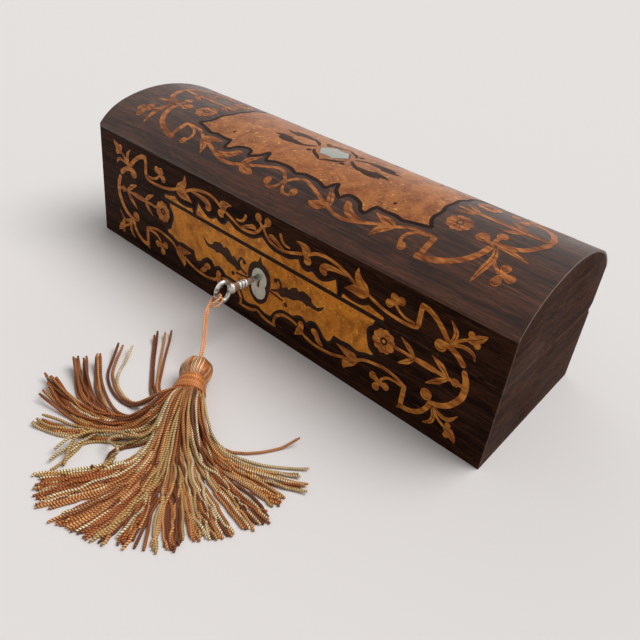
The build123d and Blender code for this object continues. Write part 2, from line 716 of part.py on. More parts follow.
def tassel_cord():
    """One thin cord, tied to the bow and sunk into the head at both ends."""
    points = [Vector(x, FRONT - out, z) for x, out, z in CORD_ROUTE]
    radii = [turn_radius(*three) for three in zip(points, points[1:], points[2:])]
    print("cord radii", [round(r, 2) for r in radii])
    path = FilletPolyline(*points, radius=radii)
    section = Plane(origin=path @ 0, z_dir=path % 0) * Circle(CORD_D / 2)
    solid = sweep(section, path=path)
    wanted = math.pi * CORD_D ** 2 / 4 * path.length
    print("cord length", round(path.length, 1), "volume", round(solid.volume, 2), round(wanted, 2))
    return solid


def skirt_outline():
    """Plan outline of the splayed skirt, through its tips and the hollows between them."""
    neck = HEAD_CENTRE + TASSEL_LINE * (NECK_START + NECK_LENGTH)
    points = []
    for number, (angle, reach) in enumerate(SKIRT_TIPS):
        turn = HEADING + math.radians(angle)
        points.append((neck.X + reach * math.cos(turn), neck.Y + reach * math.sin(turn)))
        if number + 1 < len(SKIRT_TIPS):
            angle2, reach2 = SKIRT_TIPS[number + 1]
            turn = HEADING + math.radians((angle + angle2) / 2)
            dip = SKIRT_VALLEY * (reach + reach2) / 2
            points.append((neck.X + dip * math.cos(turn), neck.Y + dip * math.sin(turn)))
    points += [(neck.X + x, neck.Y + y) for x, y in SKIRT_INNER]
    return neck, points


def tassel():
    """Cord, wooden core, covered head, wound neck and splayed skirt."""
    core = Pos(*HEAD_CENTRE) * Sphere(HEAD_CORE_R)
    ball = Pos(*HEAD_CENTRE) * Sphere(HEAD_R)
    neck_from = HEAD_CENTRE + TASSEL_LINE * NECK_START
    neck_to = neck_from + TASSEL_LINE * NECK_LENGTH
    neck = rod(neck_from, neck_to, NECK_R)
    neck = fillet(neck.edges(), NECK_ROUND)
    head = ball - core - neck
    floor = block(-LENGTH, LENGTH, -3 * LENGTH, LENGTH, 0, TALL)
    end, outline = skirt_outline()
    spread = extrude(make_face(Polyline(*outline, close=True)), SKIRT_EDGE)
    heap = Cone(SKIRT_HEAP_R, NECK_R, SKIRT_HEAP, align=(Align.CENTER, Align.CENTER, Align.MIN))
    flat_line = Vector(TASSEL_LINE.X, TASSEL_LINE.Y, 0).normalized()
    spread += Pos(*(Vector(end.X, end.Y, 0) + flat_line * SKIRT_HEAP_R)) * heap
    spread &= floor
    upright = Vector(0, 0, HEAD_R)
    spread -= rod(HEAD_CENTRE - upright, HEAD_CENTRE + upright, HEAD_R + SOFT_CLEAR)
    spread -= rod(neck_from - TASSEL_LINE, neck_to, NECK_R + SOFT_CLEAR)
    return {
        "tassel_cord": tassel_cord(),
        "tassel_core": core,
        "tassel_head": head,
        "tassel_neck": neck,
        "tassel_skirt": spread,
    }


# ---------------------------------------------------------------- assembly
def assembly():
    """Every node of the box by name."""
    nodes = carcass()
    nodes.update(hinges())
    nodes.update(linings())
    nodes["lock_plate"] = lock_plate()
    nodes["lock_cap"] = lock_cap()
    nodes["lock_pin"] = rod((0, PLATE_BACK, KEY_Z), (0, PIN_END_Y, KEY_Z), PIN_R)
    nodes["lock_bolt"] = lock_bolt()
    nodes["lock_spring"] = lock_spring()
    nodes["lock_screws"] = group(lock_screws())
    nodes["link_plate"] = link_plate()
    nodes["link_screws"] = group(link_screws())
    nodes["keyhole_escutcheon"] = escutcheon_blank(FRONT, BOARD_FRONT) - keyhole(FRONT, BOARD_FRONT)
    nodes["key"] = key()
    nodes.update(tassel())
    return nodes


for node, shape in assembly().items():
    export_step(shape, f"parts/{node}.step")
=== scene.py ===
import json
import logging
import math
from dataclasses import dataclass, field
from enum import Enum
from typing import Callable, Sequence

import bmesh
import bpy
import numpy as np
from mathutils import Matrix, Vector, kdtree

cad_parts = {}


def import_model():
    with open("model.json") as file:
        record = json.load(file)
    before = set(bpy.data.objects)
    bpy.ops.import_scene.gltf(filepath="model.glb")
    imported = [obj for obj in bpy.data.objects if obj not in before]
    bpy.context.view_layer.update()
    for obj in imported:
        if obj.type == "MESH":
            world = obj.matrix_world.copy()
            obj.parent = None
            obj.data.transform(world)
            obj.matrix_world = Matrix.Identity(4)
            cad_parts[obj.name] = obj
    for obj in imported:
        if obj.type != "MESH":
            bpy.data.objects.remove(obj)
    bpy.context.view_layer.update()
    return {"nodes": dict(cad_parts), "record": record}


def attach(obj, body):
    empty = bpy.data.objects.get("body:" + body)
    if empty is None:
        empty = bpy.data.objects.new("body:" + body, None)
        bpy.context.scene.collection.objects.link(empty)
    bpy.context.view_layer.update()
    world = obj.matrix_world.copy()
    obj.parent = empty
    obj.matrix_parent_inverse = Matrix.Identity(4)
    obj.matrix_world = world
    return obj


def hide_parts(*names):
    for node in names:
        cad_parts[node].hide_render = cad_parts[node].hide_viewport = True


# Finishes, inlay, soft linings and silk work of the antique glove box. Sizes are in millimetres, in
# the frame's own axes, and become metres where a mesh is made. Inside a finish they are in metres.

LOG = logging.getLogger("glove_box")
MM = 0.001
SEED = 11
TURN = 2 * math.pi
THREAD_MAP = "ThreadMap"

Point = tuple[float, float]
Spot = tuple[float, float, float]
Socket = bpy.types.NodeSocket
Feed = float | str | tuple | Socket
Place = float | np.ndarray


def tint(code: str) -> tuple[float, float, float, float]:
    """Linear colour of an sRGB code, a hash and six hex digits."""
    parts = [int(code[i:i + 2], 16) / 255 for i in (1, 3, 5)]
    linear = [p / 12.92 if p <= 0.04045 else ((p + 0.055) / 1.055) ** 2.4 for p in parts]
    return (*linear, 1.0)


# ---------------------------------------------------------------- shader wiring
class Wiring:
    """Adds nodes to one tree, in rows, and joins them."""

    row: int = 12
    gap: Point = (190, -240)

    def __init__(self, tree: bpy.types.NodeTree) -> None:
        """Start at the first place of a tree's first row."""
        self.tree = tree
        self.count = 0

    def add(self, kind: str, inputs: dict | None = None, **settings: object) -> bpy.types.Node:
        """Place a node.

        Args:
            kind: the node's type name, without the word ShaderNode that it starts with.
            inputs: numbers, hex colours or sockets for its inputs, by name or number.
            settings: properties of the node itself.

        Returns:
            The node.
        """
        node = self.tree.nodes.new("ShaderNode" + kind)
        node.location = (self.gap[0] * (self.count % self.row), self.gap[1] * (self.count // self.row))
        self.count += 1
        for name, value in settings.items():
            setattr(node, name, value)
        for key, value in (inputs or {}).items():
            if isinstance(value, Socket):
                self.tree.links.new(value, node.inputs[key])
            else:
                node.inputs[key].default_value = tint(value) if isinstance(value, str) else value
        return node

    def math(self, operation: str, first: Feed, second: Feed = 0.0) -> Socket:
        """One arithmetic step on one or two numbers."""
        return self.add("Math", {0: first, 1: second}, operation=operation).outputs[0]

    def times(self, first: Feed, second: Feed) -> Socket:
        """Product of two numbers."""
        return self.math("MULTIPLY", first, second)

    def dot(self, first: Feed, second: Feed) -> Socket:
        """Dot product of two directions."""
        return self.add("VectorMath", {0: first, 1: second}, operation="DOT_PRODUCT").outputs["Value"]

    def blend(self, share: Feed, first: Feed, second: Feed) -> Socket:
        """Mix of two colours by a share from 0 to 1."""
        return self.add("Mix", {0: share, 6: first, 7: second}, data_type="RGBA").outputs[2]

    def fit(self, value: Feed, low: float, high: float, start: float = 0.0, end: float = 1.0) -> Socket:
        """Map low..high to start..end, held at the ends."""
        return self.add("MapRange", {0: value, 1: low, 2: high, 3: start, 4: end}).outputs[0]

    def noise(self, place: Feed, scale: float, detail: float = 3.0, warp: float = 0.0) -> Socket:
        """Cloudy noise, about 0.5 on average, with features of 1/scale metres."""
        inputs = {"Vector": place, "Scale": scale, "Detail": detail, "Distortion": warp}
        return self.add("TexNoise", inputs).outputs["Fac"]

    def stretched(self, place: Feed, scale: Feed) -> Socket:
        """A position scaled by its own factor along each axis."""
        return self.add("VectorMath", {0: place, 1: scale}, operation="MULTIPLY").outputs[0]

    def bump(self, height: Feed, distance: float) -> Socket:
        """Surface normal from a height, at a depth in metres."""
        return self.add("Bump", {"Height": height, "Distance": distance, "Strength": 1.0}).outputs[0]


# Kinds of the effects' sockets by name. The others carry a plain number.
SOCKET_KINDS = {
    **dict.fromkeys(("Place", "Run", "Map"), "NodeSocketVector"),
    **dict.fromkeys(("Color", "Dark", "Middle", "Light", "Eye"), "NodeSocketColor"),
}


@dataclass(frozen=True)
class Effect:
    """A named surface effect, kept as one shader node group that many finishes share.

    Attributes:
        name: the group's name.
        takes: the inputs' names.
        gives: the outputs' names.
        wire: fills the group: takes the wiring and its input sockets, returns output sockets.
    """

    name: str
    takes: tuple[str, ...]
    gives: tuple[str, ...]
    wire: Callable[[Wiring, dict], dict]

    def group(self) -> bpy.types.NodeTree:
        """The effect's node group, made on first use."""
        if self.name in bpy.data.node_groups:
            return bpy.data.node_groups[self.name]
        tree = bpy.data.node_groups.new(self.name, "ShaderNodeTree")
        for way, names in (("INPUT", self.takes), ("OUTPUT", self.gives)):
            for name in names:
                kind = SOCKET_KINDS.get(name, "NodeSocketFloat")
                tree.interface.new_socket(name, in_out=way, socket_type=kind)
        source = tree.nodes.new("NodeGroupInput")
        made = self.wire(Wiring(tree), {name: source.outputs[name] for name in self.takes})
        sink = tree.nodes.new("NodeGroupOutput")
        for name, socket in made.items():
            tree.links.new(socket, sink.inputs[name])
        return tree

    def put(self, wiring: Wiring, **values: Feed) -> bpy.types.NodeOutputs:
        """Place the effect in a material, with values for its inputs, and give its outputs."""
        return wiring.add("Group", values, node_tree=self.group()).outputs


def wire_grain(w: Wiring, given: dict) -> dict:
    """Open-grained timber: broad streaks, fine streaks and short dark pores along Run."""
    run = w.stretched(given["Place"], given["Run"])
    broad = w.noise(run, 1.0, 3.0, 0.7)
    fine = w.noise(run, 5.5, 5.0, 0.3)
    pore = w.fit(w.noise(run, 17.0, 2.0), 0.56, 0.66)
    base = w.blend(w.fit(broad, 0.36, 0.64), given["Dark"], given["Middle"])
    streak = w.blend(w.fit(fine, 0.52, 0.74), base, given["Light"])
    pit = (0.006, 0.003, 0.002, 1)
    shade = w.blend(w.times(pore, given["Pore"]), streak, pit)
    height = w.math("SUBTRACT", w.times(fine, 0.4), pore)
    return {"Color": shade, "Height": height, "Pore": pore}


def wire_burr(w: Wiring, given: dict) -> dict:
    """Burr figure: cloudy patches, curling streaks and small ringed eyes."""
    place = given["Place"]
    cloud = w.noise(place, 70.0, 4.0, 1.6)
    curl = w.noise(w.stretched(place, (0.7, 1.0, 1.0)), 330.0, 3.0, 2.6)
    cells = w.add("TexVoronoi", {"Vector": place, "Scale": 330.0, "Randomness": 1.0})
    eye = w.fit(cells.outputs["Distance"], 0.12, 0.3, 1.0, 0.0)
    pale = w.fit(w.noise(place, 430.0, 1.0), 0.66, 0.74)
    base = w.blend(w.fit(cloud, 0.36, 0.6), given["Dark"], given["Middle"])
    base = w.blend(w.fit(curl, 0.5, 0.78, 0.0, 0.5), base, given["Light"])
    base = w.blend(w.times(eye, w.fit(cloud, 0.46, 0.58, 0.0, 0.5)), base, given["Eye"])
    base = w.blend(w.times(pale, 0.8), base, given["Light"])
    return {"Color": base, "Height": w.math("SUBTRACT", curl, eye)}


def wire_wear(w: Wiring, given: dict) -> dict:
    """Mask of arrises, patchy along their length. On timber its pale mark is both rubbing through the polish and a
    painted highlight.
    """
    rounded = w.add("Bevel", {"Radius": given["Reach"]}, samples=6).outputs[0]
    flat = w.add("NewGeometry").outputs["Normal"]
    edge = w.fit(w.dot(rounded, flat), 0.995, 0.86)
    patch = w.fit(w.noise(given["Place"], 210.0, 4.0), 0.36, 0.6)
    return {"Mask": w.times(edge, patch), "Edge": edge}


def wire_film(w: Wiring, given: dict) -> dict:
    """Cloudy film of old polish and dust, with fine handling scratches."""
    cloud = w.fit(w.noise(given["Place"], 26.0, 5.0, 0.5), 0.38, 0.68)
    streaks = w.noise(w.stretched(given["Place"], (40.0, 700.0, 700.0)), 1.0, 4.0)
    crossed = w.noise(w.stretched(given["Place"], (900.0, 120.0, 500.0)), 1.0, 2.0)
    scratch = w.math("MAXIMUM", w.fit(streaks, 0.66, 0.72), w.fit(crossed, 0.7, 0.76))
    return {"Cloud": cloud, "Scratch": scratch}


def wire_weave(w: Wiring, given: dict) -> dict:
    """Plain weave: warp and weft ridges that pass over each other in turn."""
    inputs = {"Vector": given["Place"], "Scale": given["Count"]}
    warp, weft, rise = (w.add("TexWave", inputs, bands_direction=axis).outputs["Fac"] for axis in "XYZ")
    slub = w.noise(w.stretched(given["Place"], (60.0, 1500.0, 1500.0)), 1.0, 2.0)
    height = w.math("MAXIMUM", w.times(warp, weft), w.times(rise, 0.7))
    return {"Height": w.math("ADD", height, w.times(slub, 0.6)), "Slub": w.fit(slub, 0.45, 0.7)}


def wire_twist(w: Wiring, given: dict) -> dict:
    """Ply of a laid thread, from a map whose first value is millimetres along it.

    The whole part of the second value numbers the thread. Each bundle of threads gets its own share of the painted
    highlight, and cloudy patches give painted shade.
    """
    parts = w.add("SeparateXYZ", {0: given["Map"]})
    turn = w.math("FRACT", parts.outputs[1])
    count = w.math("FLOOR", parts.outputs[1])
    run = w.math("DIVIDE", parts.outputs[0], given["Pitch"])
    phase = w.math("FRACT", w.math("ADD", run, w.times(turn, given["Plies"])))
    ridge = w.math("SINE", w.times(phase, math.pi))
    bundle = w.math("FLOOR", w.math("DIVIDE", count, given["Bundle"]))
    own = w.add("TexWhiteNoise", {"W": bundle}, noise_dimensions="1D").outputs["Value"]
    spot = w.add("CombineXYZ", {0: parts.outputs[0], 1: count}).outputs[0]
    return {"Ridge": ridge, "Own": own, "Fade": w.noise(spot, 0.12, 3.0)}


GRAIN = Effect(
    "timber_grain", ("Place", "Run", "Dark", "Middle", "Light", "Pore"), ("Color", "Height", "Pore"), wire_grain
)
BURR = Effect("burr_figure", ("Place", "Dark", "Middle", "Light", "Eye"), ("Color", "Height"), wire_burr)
WEAR = Effect("arris_wear", ("Place", "Reach"), ("Mask", "Edge"), wire_wear)
FILM = Effect("polish_film", ("Place",), ("Cloud", "Scratch"), wire_film)
WEAVE = Effect("silk_weave", ("Place", "Count"), ("Height", "Slub"), wire_weave)
TWIST = Effect("laid_twist", ("Map", "Pitch", "Plies", "Bundle"), ("Ridge", "Own", "Fade"), wire_twist)


# ---------------------------------------------------------------- finishes
@dataclass(frozen=True)
class Finish:
    """A finish: its material's name, and the frame's material slot that it stands for."""

    name: str
    slot: str

    def material(self) -> bpy.types.Material:
        """The finish's material, made on first use."""
        if self.name in bpy.data.materials:
            return bpy.data.materials[self.name]
        made = bpy.data.materials.new(self.name)
        made.use_nodes = True
        made.node_tree.nodes.clear()
        wiring = Wiring(made.node_tree)
        place = wiring.add("TexCoord").outputs["Object"]
        shader = wiring.add("BsdfPrincipled", self.surface(wiring, place))
        wiring.add("OutputMaterial", {"Surface": shader.outputs[0]})
        return made

    def surface(self, w: Wiring, place: Socket) -> dict[str, Feed]:
        """Wire what the surface looks like. Each finish has its own way.

        Args:
            w: the material's wiring.
            place: the position on the object, in metres.

        Returns:
            The Principled shader's inputs, by name.
        """
        raise NotImplementedError


@dataclass(frozen=True)
class Timber(Finish):
    """Polished or bare wood with grain along one axis, pale at its arrises from rubbing and a painted highlight."""

    dark: str = "#1b0d08"
    middle: str = "#392116"
    light: str = "#4e2c1a"
    bare: str = "#80604a"
    run: Spot = (16.0, 210.0, 210.0)
    pore: float = 0.8
    roughness: float = 0.34
    coat: float = 0.0
    gloss: float = 0.02
    wear: float = 0.45
    reach: float = 0.0007
    depth: float = 0.00006

    def surface(self, w: Wiring, place: Socket) -> dict[str, Feed]:
        """Grain, a cloudy polish film and pale arrises, partly rubbed and partly a painted highlight."""
        grain = GRAIN.put(
            w, Place=place, Run=self.run, Dark=self.dark, Middle=self.middle, Light=self.light, Pore=self.pore
        )
        film = FILM.put(w, Place=place)
        arris_mark = WEAR.put(w, Place=place, Reach=self.reach)
        # Pale arrises: rubbed through the polish, and a painted highlight along the edges.
        color = w.blend(w.times(arris_mark["Mask"], self.wear), grain["Color"], self.bare)
        color = w.blend(w.times(film["Scratch"], 0.12), color, self.bare)
        rough = w.fit(film["Cloud"], 0.0, 1.0, self.roughness, self.roughness + 0.14)
        return {
            "Base Color": color,
            "Roughness": w.math("ADD", rough, w.times(grain["Pore"], 0.2)),
            "Specular IOR Level": self.gloss,
            "Coat Weight": self.coat,
            "Coat Roughness": 0.3,
            "Normal": w.bump(grain["Height"], self.depth),
        }


@dataclass(frozen=True)
class Figured(Finish):
    """Burr veneer under an old amber polish."""

    dark: str
    middle: str
    light: str
    eye: str
    coat: float
    roughness: float = 0.32

    def surface(self, w: Wiring, place: Socket) -> dict[str, Feed]:
        """Burr figure under a clear coat."""
        figure = BURR.put(w, Place=place, Dark=self.dark, Middle=self.middle, Light=self.light, Eye=self.eye)
        film = FILM.put(w, Place=place)
        return {
            "Base Color": w.blend(w.times(film["Cloud"], 0.25), figure["Color"], self.dark),
            "Roughness": w.fit(film["Cloud"], 0.0, 1.0, self.roughness, self.roughness + 0.12),
            "Specular IOR Level": 0.1,
            "Coat Weight": self.coat,
            "Coat Roughness": 0.28,
            "Normal": w.bump(figure["Height"], 0.00002),
        }


@dataclass(frozen=True)
class Inlaid(Finish):
    """Thin inlaid wood: fine straight grain, warm stain that varies from piece to piece."""

    dark: str
    light: str
    stain: str
    run: Spot = (130.0, 520.0, 520.0)
    roughness: float = 0.34
    soil: float = 0.45
    coat: float = 0.02

    def surface(self, w: Wiring, place: Socket) -> dict[str, Feed]:
        """Stained fine grain with darker soiled patches."""
        grain = w.noise(w.stretched(place, self.run), 1.0, 4.0, 0.4)
        patch = w.noise(place, 58.0, 4.0, 0.8)
        color = w.blend(w.fit(grain, 0.36, 0.66), self.dark, self.light)
        return {
            "Base Color": w.blend(w.fit(patch, 0.5, 0.72, 0.0, self.soil), color, self.stain),
            "Roughness": w.fit(patch, 0.3, 0.7, self.roughness, self.roughness + 0.12),
            "Specular IOR Level": 0.1,
            "Coat Weight": self.coat,
            "Coat Roughness": 0.28,
            "Normal": w.bump(grain, 0.00003),
        }


@dataclass(frozen=True)
class Shell(Finish):
    """Mother-of-pearl: pale bands with faint green and rose, cut with hairlines."""

    base: str
    green: str
    rose: str
    hairline: str = "#7f786c"

    def surface(self, w: Wiring, place: Socket) -> dict[str, Feed]:
        """Cloudy nacre under a hard polish."""
        drift = w.noise(w.stretched(place, (150.0, 260.0, 90.0)), 1.0, 3.0, 2.4)
        glow = w.noise(place, 420.0, 2.0, 1.5)
        hair = w.fit(w.noise(w.stretched(place, (900.0, 900.0, 90.0)), 1.0, 2.0), 0.64, 0.68)
        color = w.blend(w.fit(drift, 0.36, 0.6), self.base, self.green)
        color = w.blend(w.fit(glow, 0.52, 0.68), color, self.rose)
        return {
            "Base Color": w.blend(w.times(hair, 0.35), color, self.hairline),
            "Roughness": w.fit(drift, 0.3, 0.7, 0.14, 0.3),
            "Specular IOR Level": 0.7,
            "Coat Weight": 0.5,
            "Coat Roughness": 0.08,
            "Normal": w.bump(drift, 0.00004),
        }


@dataclass(frozen=True)
class Metal(Finish):
    """Old polished metal with dark patches and fine scratches: tarnished in places, and on the key a painted dark
    reflection.
    """

    bright: str
    tarnish_and_dark_reflection: str
    spread: float
    roughness: float
    solid: float = 1.0

    def surface(self, w: Wiring, place: Socket) -> dict[str, Feed]:
        """Bright metal, darker where the noise is high, brighter on its arrises. The dark patches are tarnished metal,
        and on the key a painted dark reflection.
        """
        patch = w.fit(w.noise(place, 240.0, 5.0, 0.8), 0.42, 0.66, 0.0, self.spread)
        arris_mark = WEAR.put(w, Place=place, Reach=0.0004)
        held = w.times(patch, w.math("SUBTRACT", 1.0, arris_mark["Edge"]))
        scratch = w.noise(w.stretched(place, (2600.0, 700.0, 2600.0)), 1.0, 3.0)
        pit = w.fit(w.noise(place, 1500.0, 2.0), 0.62, 0.7)
        # Dark patches: tarnished metal, and on the key a painted dark reflection.
        color = w.blend(held, self.bright, self.tarnish_and_dark_reflection)
        rough = w.fit(held, 0.0, 1.0, self.roughness, self.roughness + 0.3)
        return {
            "Base Color": color,
            "Metallic": self.solid,
            "Roughness": w.math("ADD", rough, w.times(pit, 0.12)),
            "Normal": w.bump(w.math("SUBTRACT", w.times(scratch, 0.3), pit), 0.00001),
        }


@dataclass(frozen=True)
class Silk(Finish):
    """Plain-woven silk, faded in cloudy patches."""

    deep: str
    faded: str
    count: float = 420.0

    def surface(self, w: Wiring, place: Socket) -> dict[str, Feed]:
        """Weave, slubs, fading and a soft sheen."""
        weave = WEAVE.put(w, Place=place, Count=self.count)
        fade = w.noise(place, 34.0, 4.0, 0.6)
        color = w.blend(w.fit(fade, 0.38, 0.66), self.deep, self.faded)
        return {
            "Base Color": w.blend(w.times(weave["Slub"], 0.22), color, self.deep),
            "Roughness": w.fit(weave["Height"], 0.0, 1.0, 0.62, 0.46),
            "Sheen Weight": 0.4,
            "Sheen Roughness": 0.35,
            "Sheen Tint": "#e0a8a0",
            "Normal": w.bump(weave["Height"], 0.00005),
        }


@dataclass(frozen=True)
class Thread(Finish):
    """Twisted rayon or silk, each thread its own shade, with a painted highlight on the ridges and painted shade in
    the grooves and in patches.
    """

    # The deepest colour is a painted shade in the grooves and patches, the palest a painted highlight on the ridges.
    deep: str
    body: str
    painted_highlight: str
    pitch: float = 1.0
    plies: float = 2.0
    roughness: float = 0.42
    relief: float = 0.00012
    bundle: float = 1.0
    patchy: float = 0.4
    satin: float = 0.0

    def surface(self, w: Wiring, place: Socket) -> dict[str, Feed]:
        """Ridges of the twist from the thread's own map, with painted highlight and shade."""
        along = w.add("UVMap", uv_map=THREAD_MAP).outputs[0]
        twist = TWIST.put(w, Map=along, Pitch=self.pitch, Plies=self.plies, Bundle=self.bundle)
        # Painted shade in the grooves, painted highlight on the ridges, painted shade in cloudy patches.
        color = w.blend(w.fit(twist["Ridge"], 0.15, 0.8), self.deep, self.body)
        lift = w.times(w.fit(twist["Own"], 0.3, 1.0, 0.05, 0.95), w.fit(twist["Ridge"], 0.3, 1.0))
        color = w.blend(lift, color, self.painted_highlight)
        return {
            "Base Color": w.blend(w.fit(twist["Fade"], 0.5, 0.7, 0.0, self.patchy), color, self.deep),
            "Metallic": self.satin,
            "Roughness": w.fit(twist["Ridge"], 0.0, 1.0, self.roughness + 0.2, self.roughness),
            "Specular IOR Level": 0.35,
            "Sheen Weight": 0.04,
            "Sheen Roughness": 0.4,
            "Normal": w.bump(twist["Ridge"], self.relief),
        }


@dataclass(frozen=True)
class Backdrop(Finish):
    """Pale floor paper that keeps the shadow and shows plain where no shadow falls."""

    paper: str
    fleck: str

    def surface(self, w: Wiring, place: Socket) -> dict[str, Feed]:
        """Matt paper with the faintest tooth."""
        tooth = w.noise(place, 900.0, 2.0)
        return {
            "Base Color": w.blend(w.fit(tooth, 0.3, 0.7, 0.0, 0.03), self.paper, self.fleck),
            "Roughness": 0.95,
            "Specular IOR Level": 0.1,
            "Normal": w.bump(tooth, 0.00001),
        }


MARQUETRY, TASSEL_THREAD = "rosewood_marquetry", "tassel_thread"

ROSEWOOD_FRONT = Timber("rosewood_front", MARQUETRY)
ROSEWOOD_DOME = Timber(
    "rosewood_dome", MARQUETRY, dark="#26130b", middle="#4a2919", light="#693e28", bare="#75533f",
    run=(11.0, 150.0, 150.0), pore=0.9, roughness=0.32, coat=0.3, gloss=0.2, wear=0.35,
)
ROSEWOOD_PLAIN = Timber(
    "rosewood_ends", "rosewood_plain", dark="#220f07", middle="#40210f", light="#5a311a",
    run=(16.0, 14.0, 200.0), pore=0.6, roughness=0.46, wear=0.7,
)
PINE = Timber(
    "pine_bare", "pine_carcass", dark="#8a6236", middle="#b0864f", light="#c9a267", bare="#d8bd8c",
    run=(9.0, 130.0, 130.0), pore=0.15, roughness=0.62, wear=0.3, depth=0.00004,
)
CORE_WOOD = Timber(
    "turned_wood", "tassel_core_wood", dark="#7a5632", middle="#9d7748", light="#b58f5d", bare="#c5a476",
    run=(90.0, 90.0, 20.0), pore=0.2, roughness=0.6, wear=0.2,
)
BURR_FRONT = Figured("burr_front", MARQUETRY, "#a05810", "#d88523", "#f4b650", "#6b3a0a", 0.03)
BURR_DOME = Figured("burr_dome", MARQUETRY, "#80431b", "#a9652f", "#dba05a", "#52260d", 0.3)
SATINWOOD = Inlaid("satinwood", MARQUETRY, "#8c4814", "#d18736", "#66300d")
SATINWOOD_DOME = Inlaid("satinwood_dome", MARQUETRY, "#753b18", "#bf763d", "#4b220f", soil=0.6, coat=0.25)
EBONISED = Inlaid("ebonised", MARQUETRY, "#180c07", "#30180d", "#0e0704")
ENGRAVED = Inlaid("engraved_line", MARQUETRY, "#2c1507", "#4a260f", "#1d0d05")
WALNUT = Inlaid("dark_arabesque", MARQUETRY, "#261208", "#44240e", "#170a04")
PEARL = Shell("mother_of_pearl", "pearl", "#d2c6b5", "#b3bba6", "#cbb09f")
PEARL_CROWN = Shell("pearl_crown", "pearl", "#96938b", "#85968b", "#9b8a80")
# The key's large near-black patches are a painted dark reflection.
STEEL_KEY = Metal("polished_steel", "steel_key", "#fbf9f5", "#1f1d1b", spread=0.9, roughness=0.22, solid=0.85)
STEEL_INNER = Metal("dull_steel", "steel_inner", "#8f8a82", "#4c3f33", spread=0.8, roughness=0.38)
BRASS = Metal("aged_brass", "brass_fittings", "#bb934e", "#6c4f26", spread=0.7, roughness=0.28)
SILK_WALL = Silk("ruched_silk", "silk_lining", "#62161a", "#86292c")
SILK_PAD = Silk("buttoned_silk", "silk_pad", "#6b191d", "#903034")
COPPER = Thread("bullion_copper", TASSEL_THREAD, "#341505", "#ab5a20", "#f4b670", satin=0.12)
BRONZE = Thread("bullion_bronze", TASSEL_THREAD, "#260f04", "#783a14", "#bb7038", satin=0.12)
GOLD = Thread("bullion_gold", TASSEL_THREAD, "#4c2e0f", "#c49c5c", "#fff2cf", satin=0.2)
# On the head, the pale streaks and patches are a painted satin highlight, and the dark patches a painted shade in its
# creases.
HEAD_THREAD = Thread(
    "head_thread", TASSEL_THREAD, "#4a1f08", "#c46c27", "#fff2c6", pitch=9.0, plies=1.0, relief=0.00003,
    roughness=0.34, patchy=0.85, satin=0.2,
)
NECK_THREAD = Thread(
    "neck_thread", TASSEL_THREAD, "#7a3712", "#c56f30", "#f6b472", pitch=0.9, relief=0.00003,
    roughness=0.34, patchy=0.5, satin=0.2,
)
HEADING = Thread(
    "skirt_heading", TASSEL_THREAD, "#4b220b", "#8f4e22", "#cf8a4e", pitch=5.0, plies=1.0, relief=0.00004,
    roughness=0.36, bundle=2.0, patchy=0.6, satin=0.15,
)
CORD_SILK = Thread("cord_silk", "tassel_cord_silk", "#c06f3e", "#f7a86c", "#ffd5a8", pitch=1.2, relief=0.0001)
FLOOR = Backdrop("floor_paper", "stage", "#dedad8", "#cfcac7")


# ---------------------------------------------------------------- meshes
def link(name: str, data: bpy.types.ID) -> bpy.types.Object:
    """Put a mesh, lamp or camera in the scene."""
    made = bpy.data.objects.new(name, data)
    bpy.context.scene.collection.objects.link(made)
    return made


def new_mesh(name: str, points: Sequence, faces: Sequence, thread_map: Sequence[Point] = ()) -> bpy.types.Mesh:
    """Make a mesh.

    Args:
        name: its name.
        points: its points, in metres.
        faces: its faces, as indices of points.
        thread_map: (millimetres along, thread number) at each corner of each face, if it is thread.

    Returns:
        The mesh.
    """
    mesh = bpy.data.meshes.new(name)
    mesh.from_pydata(points, [], faces)
    if thread_map:
        mesh.uv_layers.new(name=THREAD_MAP).data.foreach_set("uv", np.array(thread_map, np.float32).ravel())
    mesh.update()
    return mesh


def add_piece(
    mesh: bpy.types.Mesh, finish: Finish, body: str, stands_for: str = "", smooth: bool = True
) -> bpy.types.Object:
    """Put a mesh in the scene, dressed and riding on a body.

    Args:
        mesh: the mesh, in metres in the frame's axes.
        finish: what it is made of.
        body: the body that carries it.
        stands_for: the CAD node that it replaces, if any.
        smooth: whether its faces are shaded smooth.

    Returns:
        The new object.
    """
    piece = link(mesh.name, mesh)
    mesh.materials.append(finish.material())
    mesh.polygons.foreach_set("use_smooth", [smooth] * len(mesh.polygons))
    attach(piece, body)
    if stands_for:
        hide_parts(stands_for)
    LOG.info("%s: %d faces on %s", mesh.name, len(mesh.polygons), body)
    return piece


def lengths(points: np.ndarray) -> np.ndarray:
    """Distance of each point along the line through them."""
    return np.concatenate([[0.0], np.cumsum(np.linalg.norm(np.diff(points, axis=0), axis=1))])


def picked(points: np.ndarray, reach: np.ndarray, at: np.ndarray) -> np.ndarray:
    """Points of a line at given distances along it."""
    return np.stack([np.interp(at, reach, points[:, axis]) for axis in range(points.shape[1])], axis=1)


def resample(points: np.ndarray, step: float) -> np.ndarray:
    """Points evenly spaced along a line, about one step apart, its ends kept."""
    reach = lengths(points)
    count = max(3, int(round(reach[-1] / step)) + 1)
    return picked(points, reach, np.linspace(0.0, reach[-1], count))


def spline(a: Place, b: Place, c: Place, d: Place, t: float) -> Place:
    """Point at t, from 0 to 1, of the smooth run from b to c, between a and d."""
    return 0.5 * (2 * b + (c - a) * t + (2 * a - 5 * b + 4 * c - d) * t ** 2 + (3 * b - a - 3 * c + d) * t ** 3)


